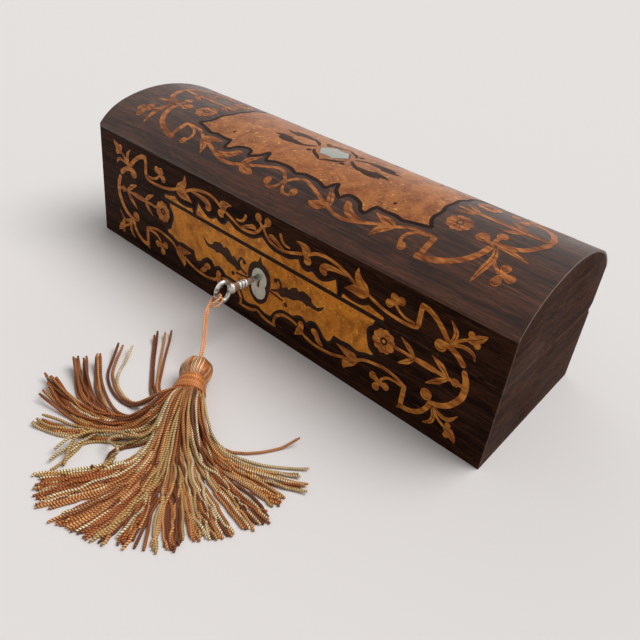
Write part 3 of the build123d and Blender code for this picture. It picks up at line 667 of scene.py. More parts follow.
def rounded_line(points: np.ndarray, share: int = 5) -> np.ndarray:
    """A smooth line through each point of a three-dimensional run.

    Args:
        points: the points, in millimetres.
        share: how many steps each run is divided in.

    Returns:
        The line's points.
    """
    padded = np.vstack([2 * points[0] - points[1], points, 2 * points[-1] - points[-2]])
    runs = zip(padded, padded[1:], padded[2:], padded[3:])
    made = [spline(*run, t) for run in runs for t in np.linspace(0.0, 1.0, share, endpoint=False)]
    return np.array(made + [points[-1]])


@dataclass
class Skin:
    """Rings of corners that are joined, and closed at both ends, as one part of a thread mesh.

    Attributes:
        rings: corner points, (ring, corner, axis), in millimetres.
        reach: distance of each ring along the thread.
        edges: thread number at the two edges of each side.
        cap: thread number at the ends.
        turned_over: whether the corners run the other way round.
    """

    rings: np.ndarray
    reach: Sequence[float]
    edges: Sequence[Point]
    cap: float
    turned_over: bool = False


@dataclass
class Tube:
    """A laid thread: a tube whose two-lobed section turns along a line.

    Attributes:
        line: its centre line, in millimetres.
        radius: its mean radius along the line.
        pitch: length of one full turn of the section.
        swell: how far the plies stand out, as a part of the radius.
        sides: corners round the section.
        number: the thread's own number, which sets its shade.
    """

    line: np.ndarray
    radius: np.ndarray | float
    pitch: float
    swell: float
    sides: int = 8
    number: int = 0

    def frames(self) -> tuple[np.ndarray, np.ndarray]:
        """Two directions square to the line at each of its points, turned as little as can be."""
        ahead = np.gradient(self.line, axis=0)
        ahead /= np.linalg.norm(ahead, axis=1)[:, None] + 1e-9
        side = np.cross(ahead[0], (0.0, 0.0, 1.0))
        if np.linalg.norm(side) < 0.1:
            side = np.cross(ahead[0], (0.0, 1.0, 0.0))
        sides = []
        for direction in ahead:
            side = side - direction * side.dot(direction)
            side /= np.linalg.norm(side) + 1e-9
            sides.append(side)
        across = np.array(sides)
        return across, np.cross(across, ahead)

    def skin(self) -> Skin:
        """The thread's rings and their numbers."""
        across, up = self.frames()
        reach = lengths(self.line)
        angle = np.linspace(0.0, TURN, self.sides, endpoint=False)
        lobed = 1 - self.swell * np.cos(2 * (angle[None, :] + TURN * reach[:, None] / self.pitch))
        radius = np.broadcast_to(np.asarray(self.radius, float), reach.shape)[:, None] * lobed
        round_it = np.cos(angle)[None, :, None] * across[:, None, :] + np.sin(angle)[None, :, None] * up[:, None, :]
        edges = [tuple(self.number + 0.999 * (j + k) / self.sides for k in (0, 1)) for j in range(self.sides)]
        return Skin(self.line[:, None, :] + radius[..., None] * round_it, reach, edges, self.number + 0.5)


def thread_mesh(name: str, skins: Sequence[Skin]) -> bpy.types.Mesh:
    """One mesh of several threads, with closed ends and a thread map.

    Args:
        name: the mesh's name.
        skins: the threads' rings.

    Returns:
        The mesh.
    """
    points, faces, places = [], [], []
    start = 0
    for skin in skins:
        count, sides = skin.rings.shape[:2]
        points.append(skin.rings.reshape(-1, 3))
        for i in range(count - 1):
            near, far = start + i * sides, start + (i + 1) * sides
            here, there = skin.reach[i], skin.reach[i + 1]
            for j, (low, high) in enumerate(skin.edges):
                k = (j + 1) % sides
                if skin.turned_over:
                    faces.append((near + j, far + j, far + k, near + k))
                    places += [(here, low), (there, low), (there, high), (here, high)]
                else:
                    faces.append((near + j, near + k, far + k, far + j))
                    places += [(here, low), (here, high), (there, high), (there, low)]
        for ring, first in ((0, True), (count - 1, False)):
            corners = [start + ring * sides + j for j in range(sides)]
            faces.append(tuple(corners if first == skin.turned_over else reversed(corners)))
            places += [(skin.reach[ring], skin.cap)] * sides
        start += count * sides
    return new_mesh(name, (np.vstack(points) * MM).tolist(), faces, places)


# ---------------------------------------------------------------- the tassel's cord
# The cord's route, as the part's source has it: out of the head, up one strand, a lark's head
# round the bow and down the other strand. Each point is (x, distance in front of the box, z), in
# metres.
CORD_ROUTE = [
    (0.0146, 0.0483, 0.0080), (0.0118, 0.0445, 0.0122), (0.0089, 0.0414, 0.0139), (0.0057, 0.0386, 0.0163),
    (0.0028, 0.0362, 0.0196), (0.0012, 0.0342, 0.0226), (-0.0003, 0.0316, 0.0245), (-0.0008, 0.0298, 0.0255),
    (-0.0020, 0.0285, 0.0262), (-0.0019, 0.0247, 0.0283), (0.0020, 0.0249, 0.0288), (0.0022, 0.0290, 0.0271),
    (0.0009, 0.0307, 0.0256), (0.0009, 0.0297, 0.0236), (0.0022, 0.0274, 0.0240), (0.0020, 0.0237, 0.0261),
    (-0.0019, 0.0239, 0.0265), (-0.0020, 0.0278, 0.0249), (-0.0008, 0.0293, 0.0243), (-0.0003, 0.0311, 0.0235),
    (0.0020, 0.0334, 0.0226), (0.0036, 0.0354, 0.0196), (0.0065, 0.0378, 0.0163), (0.0097, 0.0406, 0.0139),
    (0.0126, 0.0437, 0.0122), (0.0155, 0.0476, 0.0080),
]


@dataclass
class TasselCord:
    """The thin doubled cord from the tassel's head to the key's bow."""

    diameter: float = 1.0
    length: float = 93.0
    turn: float = 2.4
    front: float = -48.5
    filled: float = 0.97

    def spline_points(self) -> np.ndarray:
        """Millimetre points along the route's own smooth spline."""
        curve = bpy.data.curves.new("cord_route", "CURVE")
        curve.dimensions = "3D"
        curve.resolution_u = 8
        spline_curve = curve.splines.new("NURBS")
        spline_curve.points.add(len(CORD_ROUTE) - 1)
        for (x, out, z), point in zip(CORD_ROUTE, spline_curve.points):
            point.co = (x, self.front * MM - out, z, 1.0)
        spline_curve.order_u = 3
        spline_curve.use_endpoint_u = True
        carrier = bpy.data.objects.new("cord_route", curve)
        line = bpy.data.meshes.new_from_object(carrier)
        points = np.array([vertex.co[:] for vertex in line.vertices]) / MM
        bpy.data.objects.remove(carrier)
        bpy.data.meshes.remove(line)
        bpy.data.curves.remove(curve)
        return points

    def build(self) -> None:
        """The laid cord, with its real size."""
        points = resample(self.spline_points(), 0.3)
        tube = Tube(points, self.diameter / 2 * self.filled, pitch=self.turn, swell=0.14, sides=10)
        piece = add_piece(thread_mesh("tassel_cord_twist", [tube.skin()]), CORD_SILK, "tassel", "tassel_cord")


# ---------------------------------------------------------------- the tassel
class Shade(Enum):
    """Which bullion a strand is made of."""

    COPPER = COPPER
    BRONZE = BRONZE
    GOLD = GOLD


@dataclass(frozen=True)
class Lock:
    """A lock of neighbouring strands, in millimetres.

    Attributes:
        way: (x, y, z) points that its middle strand passes on its way from the neck.
        tips: (x, y) line along which its strands end.
        count: how many strands it has.
        shades: first letters of the shades, taken in turn.
        lift: height of its tips above the floor.
        loose: how far its strands stray from each other.
    """

    way: tuple[Spot, ...]
    tips: tuple[Point, ...]
    count: int
    shades: str
    lift: float = 0.0
    loose: float = 1.2

    def shade(self, number: int) -> Shade:
        """Shade of one of its strands."""
        letter = self.shades[number % len(self.shades)]
        return next(shade for shade in Shade if shade.name[0] == letter)


LOCKS = [
    Lock(
        ((24, -118, 9), (16, -120, 5), (-2, -107, 3)), ((-21, -97), (-24, -91), (-22, -88), (-20, -85)),
        4, "BBCB", 2, 0.5,
    ),
    Lock(((24, -123, 9), (12, -131, 5), (-8, -126, 4)), ((-26, -113), (-21, -106)), 3, "BCG", 3, 0.8),
    Lock(
        ((26, -128, 10), (14, -140, 6), (-5, -139, 5)), ((-23, -122), (-24, -130), (-26, -132), (-21, -137)),
        13, "BCB", 5,
    ),
    Lock(((28, -131, 10), (16, -144, 6), (-1, -148, 4)), ((-27, -143), (-21, -149), (-14, -155)), 13, "CGBC", 3),
    Lock(((30, -134, 9), (20, -148, 5), (7, -157, 3)), ((-5, -161), (-2, -163)), 8, "GCG", 1),
    Lock(((32, -135, 11), (22, -147, 7), (18, -158, 4)), ((27, -171), (21, -167), (17, -165)), 5, "G", 1, 2.4),
    Lock(((33, -134, 12), (28, -149, 8), (36, -156, 5)), ((33, -147), (30, -160)), 3, "GB", 2, 2.0),
    Lock(((37, -133, 11), (43, -148, 8), (38, -164, 3)), ((22, -175), (30, -179), (38, -182)), 28, "CGCCGB"),
    Lock(((39, -131, 12), (50, -148, 8), (54, -164, 3)), ((44, -181), (54, -179), (64, -175)), 26, "CCGCB"),
    Lock(
        ((41, -129, 12), (56, -143, 8), (67, -155, 3)), ((67, -172), (75, -167), (81, -162), (83, -156)),
        24, "CBGCB",
    ),
    Lock(((43, -126, 12), (60, -136, 8), (75, -143, 3)), ((85, -152), (89, -149), (93, -143)), 17, "GCBGC"),
    Lock(((44, -123, 11), (62, -129, 7), (80, -131, 3)), ((95, -138), (96, -132), (98, -128)), 12, "CBG"),
    Lock(((45, -120, 10), (62, -124, 6), (80, -121, 3)), ((95, -122), (94, -117)), 9, "GCC", 0.5),
    Lock(((45, -118, 10), (61, -121, 6), (77, -115, 3)), ((98, -111), (92, -107), (90, -100)), 8, "GCG", 1),
    Lock(((44, -118, 10), (57, -119, 5), (69, -110, 3)), ((79, -91),), 1, "C", 4, 0.2),
]


@dataclass
class Tassel:
    """Head of thread over a wooden core, wound neck and spread bullion skirt.

    The skirt settles in rounds. Its knots sink, its links, each a number of knots and a firmness,
    keep their lengths, and strands that touch push each other apart. Only the tips that are laid
    higher than held_tip stay raised.
    """

    centre: Spot = (18.9, -101.4, 7.3)
    head_radius: float = 7.3
    heading: float = -52.0
    dip: float = 6.0
    neck_start: float = 5.4
    neck_length: float = 8.8
    neck_radius: float = 7.7
    neck_turns: int = 10
    strand_radius: float = 0.6
    knots: int = 32
    root_radius: float = 7.3
    above: float = 0.25
    per_rib: int = 4
    pleats: int = 7
    sink: float = 0.09
    rounds: int = 120
    quick_rounds: int = 30
    pair_every: int = 8
    pair_reach: float = 2.4
    push: float = 0.4
    held_tip: float = 1.5
    links: tuple[tuple[int, float], ...] = ((1, 1.0), (2, 0.5), (4, 0.35))

    @property
    def axis(self) -> np.ndarray:
        """Direction from the cord's hole to the skirt."""
        flat, down = math.radians(self.heading), math.radians(self.dip)
        return np.array([math.cos(flat) * math.cos(down), math.sin(flat) * math.cos(down), -math.sin(down)])

    def square(self) -> tuple[np.ndarray, np.ndarray]:
        """Two directions square to the tassel's line: sideways and upward."""
        side = np.cross(self.axis, (0.0, 0.0, 1.0))
        side /= np.linalg.norm(side)
        return side, np.cross(side, self.axis)

    def ring_point(self, along: float, radius: float, angle: float) -> np.ndarray:
        """Point on a ring round the tassel's line, pressed flat where the ring would meet the floor."""
        side, up = self.square()
        middle = np.array(self.centre) + self.axis * along
        tall = min(radius, middle[2] - self.above)
        return middle + radius * math.cos(angle) * side + tall * math.sin(angle) * up

    def turned(self, name: str, profile: Sequence[Point], ribs: int, swell: float, finish: Finish, node: str) -> None:
        """Make a form turned about the tassel's line, of threads that lie lengthwise.

        Args:
            name: the piece's name.
            profile: (distance along the line from the head's centre, radius).
            ribs: how many threads lie round it.
            swell: how far they stand out.
            finish: its finish.
            node: the CAD node that it stands for.
        """
        per_rib = self.per_rib
        sides = ribs * per_rib

        def corner(along: float, radius: float, j: int) -> np.ndarray:
            """One corner of one ring."""
            angle = TURN * j / sides
            wave = swell * abs(math.sin(math.pi * (j % per_rib) / per_rib))
            pleat = 1 + 0.05 * math.sin(self.pleats * angle) * min(1.0, max(0.0, -along / 5.0))
            return self.ring_point(along, pleat * radius + wave * min(1.0, radius / self.neck_radius), angle)

        rings = np.array([[corner(*spot, j) for j in range(sides)] for spot in profile])
        edges = [
            tuple(j // per_rib + (j % per_rib + k) / per_rib * 0.999 for k in (0, 1)) for j in range(sides)
        ]
        skin = Skin(rings, [along for along, _ in profile], edges, 0.5, turned_over=True)
        add_piece(thread_mesh(name, [skin]), finish, "tassel", node)

    def build_head(self) -> None:
        """Threads laid from the cord's hole down over the core."""
        turns = np.linspace(math.radians(14.0), math.radians(139.0), 30)
        profile = [(-5.9, 1.2)]
        profile += [(-self.head_radius * math.cos(t), (self.head_radius - 0.15) * math.sin(t)) for t in turns]
        self.turned("head_threads", profile, 60, 0.2, HEAD_THREAD, "tassel_head")

    def build_neck(self) -> None:
        """Thread wound tightly across the neck, over the skirt's heading."""
        count, per_turn = self.neck_turns, 60
        pitch = self.neck_length / count
        start = self.neck_start + pitch / 2
        turns = np.linspace(0, TURN * count, per_turn * count + 1)
        waist = 0.76 + 0.24 * np.linspace(0, 1, len(turns)) ** 1.3
        radius = self.neck_radius - 0.3
        coil = np.array([
            self.ring_point(start + pitch * t / TURN * (count - 1) / count, radius * w, t - math.pi / 2)
            for t, w in zip(turns, waist)
        ])
        skins = [
            Tube(coil[i * per_turn:(i + 1) * per_turn + 1], pitch * 0.54, 1.8, 0.05, sides=10, number=i).skin()
            for i in range(count)
        ]
        add_piece(thread_mesh("neck_winding", skins), NECK_THREAD, "tassel", "tassel_neck")
        last = self.neck_start + self.neck_length
        bell = [(-1.5, 6.2), (0, 6.9), (2.5, 7.1), (5.5, 6.6), (9.0, 5.2), (11.0, 3.0)]
        profile = [(last + along, r) for along, r in bell]
        self.turned("skirt_heading", profile, 44, 0.28, HEADING, "tassel_neck")

    def laid_line(self, lock: Lock, share: float, rng: np.random.Generator) -> np.ndarray:
        """One strand of a lock as it is laid down, before it settles.

        Args:
            lock: the lock it belongs to.
            share: its place across the lock, from 0 to 1.
            rng: source of its own small differences.

        Returns:
            Its knots from root to tip.
        """
        side, up = self.square()
        end = np.array(self.centre) + self.axis * (self.neck_start + self.neck_length - 1.2)
        ends = np.array(lock.tips, float)
        tip = picked(ends, np.arange(len(ends)), np.array([share * (len(ends) - 1)]))[0]
        way = np.array(lock.way, float)
        weight = (np.arange(len(way)) + 1.0)[:, None] / (len(way) + 1.5)
        way[:, :2] += (tip - ends.mean(axis=0)) * weight
        way += rng.normal(0, lock.loose, way.shape) * (0.4 + weight)
        tip = tip + rng.normal(0, 0.9 * lock.loose, 2)
        level = rng.uniform()
        across = self.root_radius * np.clip(side.dot(way[0] - end) / 12.0, -0.95, 0.95) * rng.uniform(0.7, 1.0)
        tall = end[2] - self.strand_radius - self.above
        high = (2 * level - 1) * tall * math.sqrt(max(0.02, 1 - (across / self.root_radius) ** 2))
        root = end + side * across + up * high
        root[2] = max(root[2], self.strand_radius)
        way[:, 2] += (level - 0.6) * np.array([7.0, 5.0, 2.0])
        way[:, 2] = np.maximum(way[:, 2], self.strand_radius)
        line = rounded_line(np.vstack([root, way, [*tip, self.strand_radius + lock.lift]]), 12)
        reach = lengths(line)
        return picked(line, reach, np.linspace(0, reach[-1] * rng.uniform(0.96, 1.0), self.knots))

    def lay_strands(self) -> tuple[np.ndarray, list[Shade]]:
        """All strands as laid down, and their shades."""
        rng = np.random.default_rng(SEED)
        lines, shades = [], []
        for lock in LOCKS:
            for i in range(lock.count):
                share = (i + 0.5) / lock.count if lock.loose < 1 else rng.uniform()
                lines.append(self.laid_line(lock, share, rng))
                shades.append(lock.shade(i))
        return np.array(lines), shades

    def thickness(self, share: np.ndarray, root: float) -> np.ndarray:
        """Radius of a strand at shares of its length, thin where it comes out of the neck."""
        return self.strand_radius * np.clip(root + share * 4.5, 0, 1)

    def neighbours(self, flat: np.ndarray) -> np.ndarray:
        """Pairs of knots, of different strands, that are close enough to touch soon."""
        tree = kdtree.KDTree(len(flat))
        for index, point in enumerate(flat):
            tree.insert(point, index)
        tree.balance()
        found = [
            (index, other)
            for index, point in enumerate(flat)
            for _, other, _ in tree.find_range(point, self.pair_reach * self.strand_radius)
            if other > index and other // self.knots != index // self.knots
        ]
        return np.array(found, int).reshape(-1, 2)

    def settle(self, laid: np.ndarray, rounds: int) -> np.ndarray:
        """Let the strands sink on to the floor and on to each other.

        Args:
            laid: knots of every strand, (strand, knot, axis).
            rounds: how many small steps they sink by.

        Returns:
            The settled knots.
        """
        place = laid.copy()
        count, knots = place.shape[:2]
        rest = [np.linalg.norm(laid[:, gap:] - laid[:, :-gap], axis=2) for gap, _ in self.links]
        share = np.linspace(0, 1, knots)
        free = np.clip((share - 0.05) / 0.08, 0, 1)
        thick = self.thickness(share, 0.45)
        thick_all, free_all = np.tile(thick, count), np.tile(free, count)[:, None]
        raised = laid[:, -1, 2] > self.held_tip
        held_up = np.where(raised[:, None], 1 - share[None, :] ** 2, 1.0)
        fall = self.sink * np.clip((share - 0.12) / 0.3, 0, 1)[None, :] * held_up
        for step in range(rounds):
            place[:, :, 2] -= fall
            if step % self.pair_every == 0:
                pairs = self.neighbours(place.reshape(-1, 3))
            for _ in range(2):
                for (gap, firm), kept in zip(self.links, rest):
                    run = place[:, gap:] - place[:, :-gap]
                    size = np.linalg.norm(run, axis=2)
                    shift = firm * 0.5 * (run * ((size - kept) / (size + 1e-9))[..., None])
                    place[:, :-gap] += shift * free[None, :-gap, None]
                    place[:, gap:] -= shift * free[None, gap:, None]
                flat = place.reshape(-1, 3)
                a, b = pairs.T
                run = flat[b] - flat[a]
                size = np.linalg.norm(run, axis=1) + 1e-9
                push = self.push * run * (np.clip(thick_all[a] + thick_all[b] - size, 0, None) / size)[:, None]
                push[:, :2] *= 0.5
                np.add.at(flat, b, push * free_all[b])
                np.add.at(flat, a, -push * free_all[a])
                away = flat - np.array(self.centre)
                size = np.linalg.norm(away, axis=1) + 1e-9
                near = np.clip(self.head_radius + self.strand_radius - size, 0, None)
                flat += away * (near / size)[:, None] * free_all
                place = flat.reshape(count, knots, 3)
                place[:, :, 2] = np.maximum(place[:, :, 2], np.maximum(thick[None, :], 0.3))
        return place

    def build_skirt(self) -> None:
        """Settle the strands and make the twisted bullion, one piece for each shade."""
        laid, shades = self.lay_strands()
        settled = self.settle(laid, self.rounds)
        for shade in Shade:
            skins = []
            for number, (knots, own) in enumerate(zip(settled, shades)):
                if own is shade:
                    line = resample(rounded_line(knots), 0.47)
                    share = np.linspace(0, 1, len(line))
                    radius = self.thickness(share, 0.5) * np.where(share > 0.985, 0.8, 1.0)
                    skins.append(Tube(line, radius, pitch=2.0, swell=0.08, number=number).skin())
            name = f"skirt_{shade.name.lower()}"
            add_piece(thread_mesh(name, skins), shade.value, "tassel", "tassel_skirt")

    def build(self) -> None:
        """Head, neck and skirt."""
        self.build_head()
        self.build_neck()
        self.build_skirt()


# ---------------------------------------------------------------- inlay
class Wood(Enum):
    """Which wood a cut of the marquetry is, from the ground upward."""

    BURR = "burr"
    OUTLINE = "outline"
    PALE = "pale"
    DARK = "dark"
    ENGRAVED = "engraved"


PROUD = {Wood.BURR: 0.018, Wood.OUTLINE: 0.026, Wood.PALE: 0.04, Wood.DARK: 0.034, Wood.ENGRAVED: 0.056}
STEP_PROUD = 0.00006      # each later cut lies this much higher, so that no two share a plane


def through(points: Sequence[tuple], closed: bool = False, share: int = 5) -> list[Point]:
    """A smooth plane line through given points.

    Args:
        points: (across, up), with a third value where the line has a sharp corner.
        closed: whether it comes back to its first point.
        share: how many steps each run is divided in.

    Returns:
        The line's points.
    """
    held = [tuple(p[:2]) for p in points for _ in range(2 if len(p) == 3 else 1)]
    run = held[-1:] + held + held[:2] if closed else held[:1] + held + held[-1:]
    made = [
        tuple(spline(*values, step / share) for values in zip(a, b, c, d))
        for a, b, c, d in zip(run, run[1:], run[2:], run[3:]) if b != c
        for step in range(share)
    ]
    return made if closed else made + [held[-1]]


@dataclass(frozen=True)
class Cut:
    """One piece of inlay, as plane faces before it is laid."""

    faces: tuple[tuple[Point, ...], ...]
    wood: Wood

    def turned_over(self, axis: float, upright: bool) -> "Cut":
        """The piece's mirror image across a line: x = axis, or the height where upright."""
        flip = (lambda p: (p[0], 2 * axis - p[1])) if upright else (lambda p: (2 * axis - p[0], p[1]))
        return Cut(tuple(tuple(flip(p) for p in reversed(face)) for face in self.faces), self.wood)


@dataclass
class Pattern:
    """Cuts for one face of the box, drawn on its right half and turned over for the left."""

    cuts: list[Cut] = field(default_factory=list)

    def shape(self, points: Sequence[tuple], wood: Wood = Wood.PALE) -> None:
        """Add a closed smooth outline through the points."""
        line = through(points, closed=True)
        area = sum(a[0] * b[1] - b[0] * a[1] for a, b in zip(line, line[1:] + line[:1]))
        self.cuts.append(Cut((tuple(line if area > 0 else reversed(line)),), wood))

    def stroke(self, points: Sequence[tuple], width: float | Sequence[float], wood: Wood = Wood.PALE) -> None:
        """Add a band with rounded ends.

        Args:
            points: its middle line.
            width: its width, or its width at each point.
            wood: what it is cut from.
        """
        line = np.array(through(points, share=6))
        reach = lengths(line)
        total = reach[-1]
        widths = np.array([width] * len(points) if isinstance(width, (int, float)) else width, float)
        near = np.interp(np.linspace(0, 1, len(line)), np.linspace(0, 1, len(points)), widths)
        cap = min(0.45 * total, 0.5 * float(widths.max()))
        tips = cap * np.array([0, 0.03, 0.12, 0.3, 0.6])
        at = np.unique(np.concatenate([reach, tips, total - tips]))
        middle = picked(line, reach, at)
        ends = np.clip(np.minimum(at, total - at) / cap, 0, 1)
        half = np.interp(at, reach, near) / 2 * np.sqrt(np.clip(1 - (1 - ends) ** 2, 0.0, 1)) + 0.004
        ahead = np.gradient(middle, axis=0)
        ahead /= np.linalg.norm(ahead, axis=1)[:, None] + 1e-9
        aside = np.stack([-ahead[:, 1], ahead[:, 0]], axis=1) * half[:, None]
        left, right = [tuple(p) for p in middle + aside], [tuple(p) for p in middle - aside]
        faces = tuple(zip(right, right[1:], left[1:], left))
        self.cuts.append(Cut(faces, wood))

    def leaf(self, points: Sequence[tuple], width: Sequence[float]) -> None:
        """Add a tapered leaf with an engraved midrib."""
        self.stroke(points, width)
        self.vein(points)

    def vein(self, points: Sequence[tuple]) -> None:
        """Add a hairline cut down the middle of a leaf."""
        self.stroke(points, [0.28] * (len(points) - 1) + [0.08], Wood.ENGRAVED)

    def boss(self, centre: Point, radius: float, wood: Wood = Wood.PALE) -> None:
        """Add a round piece, with an engraved crescent if it is pale and large enough."""
        x, y = centre
        sides = 18
        angles = [TURN * i / sides for i in range(sides)]
        self.cuts.append(Cut((tuple((x + radius * math.cos(a), y + radius * math.sin(a)) for a in angles),), wood))
        if wood is Wood.PALE and radius > 1.6:
            arc = [math.radians(a) for a in (200, 235, 270, 305, 340)]
            inner = radius * 0.62
            self.stroke([(x + inner * math.cos(a), y + inner * math.sin(a)) for a in arc], 0.26, Wood.ENGRAVED)

    def trefoil(self, centre: Point, lobes: Sequence[Point], radius: float) -> None:
        """Add three lobes joined at their middle."""
        for lobe in lobes:
            self.stroke([centre, lobe], [radius, radius * 1.7])
            self.boss(lobe, radius)

    def daisy(self, centre: Point, radius: float) -> None:
        """Add ten petals round a dark eye, with a pale dot in it."""
        x, y = centre
        petals, eye = 10, 2.3
        inner, broad = eye * 0.8, TURN * radius / petals
        for number in range(petals):
            a = TURN * (number + 0.3) / petals
            ends = [(x + math.cos(a) * r, y + math.sin(a) * r) for r in (inner, (inner + radius) / 2, radius)]
            self.stroke(ends, [broad * 0.5, broad * 0.88, broad * 0.95])
            self.stroke(ends[:2], 0.25, Wood.ENGRAVED)
        self.boss(centre, eye * 0.42)

    def mirrored(self, axis: float, upright: bool = False) -> "Pattern":
        """This pattern with its mirror image beside it."""
        return Pattern(self.cuts + [cut.turned_over(axis, upright) for cut in self.cuts])


@dataclass(frozen=True)
class Front:
    """The upright front of the box."""

    width: float = 97.0

    def place(self, across: float, up: float, proud: float) -> Vector:
        """A point that stands proud of the front."""
        return Vector((across, -self.width / 2 - proud, up)) * MM

    def seams(self) -> list[float]:
        """Heights at which a cut is divided to follow the surface."""
        return []


@dataclass(frozen=True)
class Dome:
    """The three-centred dome, measured along its arc from the front crease."""

    width: float = 97.0
    crease: float = 68.7
    crown: float = 88.2
    haunch_radius: float = 38.9
    crease_angle: float = 36.1
    seam_pitch: float = 1.6

    def arcs(self) -> tuple[Point, float, float, float]:
        """Haunch centre at the back (y, z), crown radius, and the arc's length on haunch and crown."""
        turn = math.radians(self.crease_angle)
        y = self.width / 2 - math.cos(turn) * self.haunch_radius
        z = self.crease - math.sin(turn) * self.haunch_radius
        drop = self.crown - z
        radius = (drop ** 2 + y ** 2 - self.haunch_radius ** 2) / (2 * (drop - self.haunch_radius))
        joint = math.atan2(z - (self.crown - radius), y)
        return (y, z), radius, self.haunch_radius * (joint - turn), radius * (math.pi / 2 - joint)

    def middle(self) -> float:
        """Arc length from the crease to the crown."""
        return sum(self.arcs()[2:])

    def place(self, across: float, along: float, proud: float) -> Vector:
        """A point that stands proud of the dome.

        Args:
            across: its place along the box.
            along: its place along the arc, from the front crease.
            proud: its height off the dome, or below it where negative.

        Returns:
            The point, in metres.
        """
        (y, z), radius, haunch, crown = self.arcs()
        half = haunch + crown
        side = -1.0
        if along > half:
            along, side = 2 * half - along, 1.0
        if along <= haunch:
            angle = math.radians(self.crease_angle) + along / self.haunch_radius
            r = self.haunch_radius + proud
            return Vector((across, side * (y + r * math.cos(angle)), z + r * math.sin(angle))) * MM
        angle = math.pi / 2 - (half - along) / radius
        r = radius + proud
        return Vector((across, side * r * math.cos(angle), self.crown - radius + r * math.sin(angle))) * MM

    def seams(self) -> list[float]:
        """Arc lengths at which a cut is divided to follow the surface."""
        return [self.seam_pitch * i for i in range(1, int(2 * self.middle() / self.seam_pitch))]


Ground = Front | Dome


def lay_wood(pattern: Pattern, wood: Wood, ground: Ground, name: str, finish: Finish, body: str) -> None:
    """Lay one wood of a pattern on its face of the box, as one piece.

    Args:
        pattern: the whole pattern.
        wood: the wood to lay.
        ground: the face that it is laid on.
        name: the piece's name.
        finish: the wood's finish.
        body: the body that carries it.
    """
    points: list[Vector] = []
    faces: list[list[int]] = []
    for number, cut in enumerate(pattern.cuts):
        if cut.wood is not wood:
            continue
        flat = bmesh.new()
        for face in cut.faces:
            flat.faces.new([flat.verts.new((x, y, 0.0)) for x, y in face])
        bmesh.ops.remove_doubles(flat, verts=flat.verts, dist=0.002)
        bmesh.ops.triangulate(flat, faces=[f for f in flat.faces if len(f.verts) > 4])
        heights = [v.co.y for v in flat.verts]
        low, high = min(heights), max(heights)
        for seam in ground.seams():
            if low < seam < high:
                geometry = list(flat.verts) + list(flat.edges) + list(flat.faces)
                bmesh.ops.bisect_plane(flat, geom=geometry, plane_co=(0, seam, 0), plane_no=(0, 1, 0), dist=0.001)
        rim = bmesh.ops.extrude_edge_only(flat, edges=[e for e in flat.edges if e.is_boundary])
        foot = {v for v in rim["geom"] if isinstance(v, bmesh.types.BMVert)}
        proud = PROUD[wood] + STEP_PROUD * number
        start = len(points)
        flat.verts.index_update()
        points += [ground.place(v.co.x, v.co.y, 0.0 if v in foot else proud) for v in flat.verts]
        faces += [[start + v.index for v in face.verts] for face in flat.faces]
        flat.free()
    add_piece(new_mesh(name, points, faces), finish, body, smooth=False)


def lay(pattern: Pattern, ground: Ground, name: str, body: str, burr: Finish, pale: Finish) -> None:
    """Lay every wood of a pattern that has a cut in it.

    Args:
        pattern: the pattern.
        ground: the face that it is laid on.
        name: what the pieces' names start with.
        body: the body that carries them.
        burr: finish of the burr.
        pale: finish of the pale wood.
    """
    woods = {
        Wood.BURR: burr, Wood.OUTLINE: EBONISED, Wood.PALE: pale, Wood.DARK: WALNUT, Wood.ENGRAVED: ENGRAVED,
    }
    for wood, finish in woods.items():
        if any(cut.wood is wood for cut in pattern.cuts):
            lay_wood(pattern, wood, ground, f"{name}_{wood.value}", finish, body)


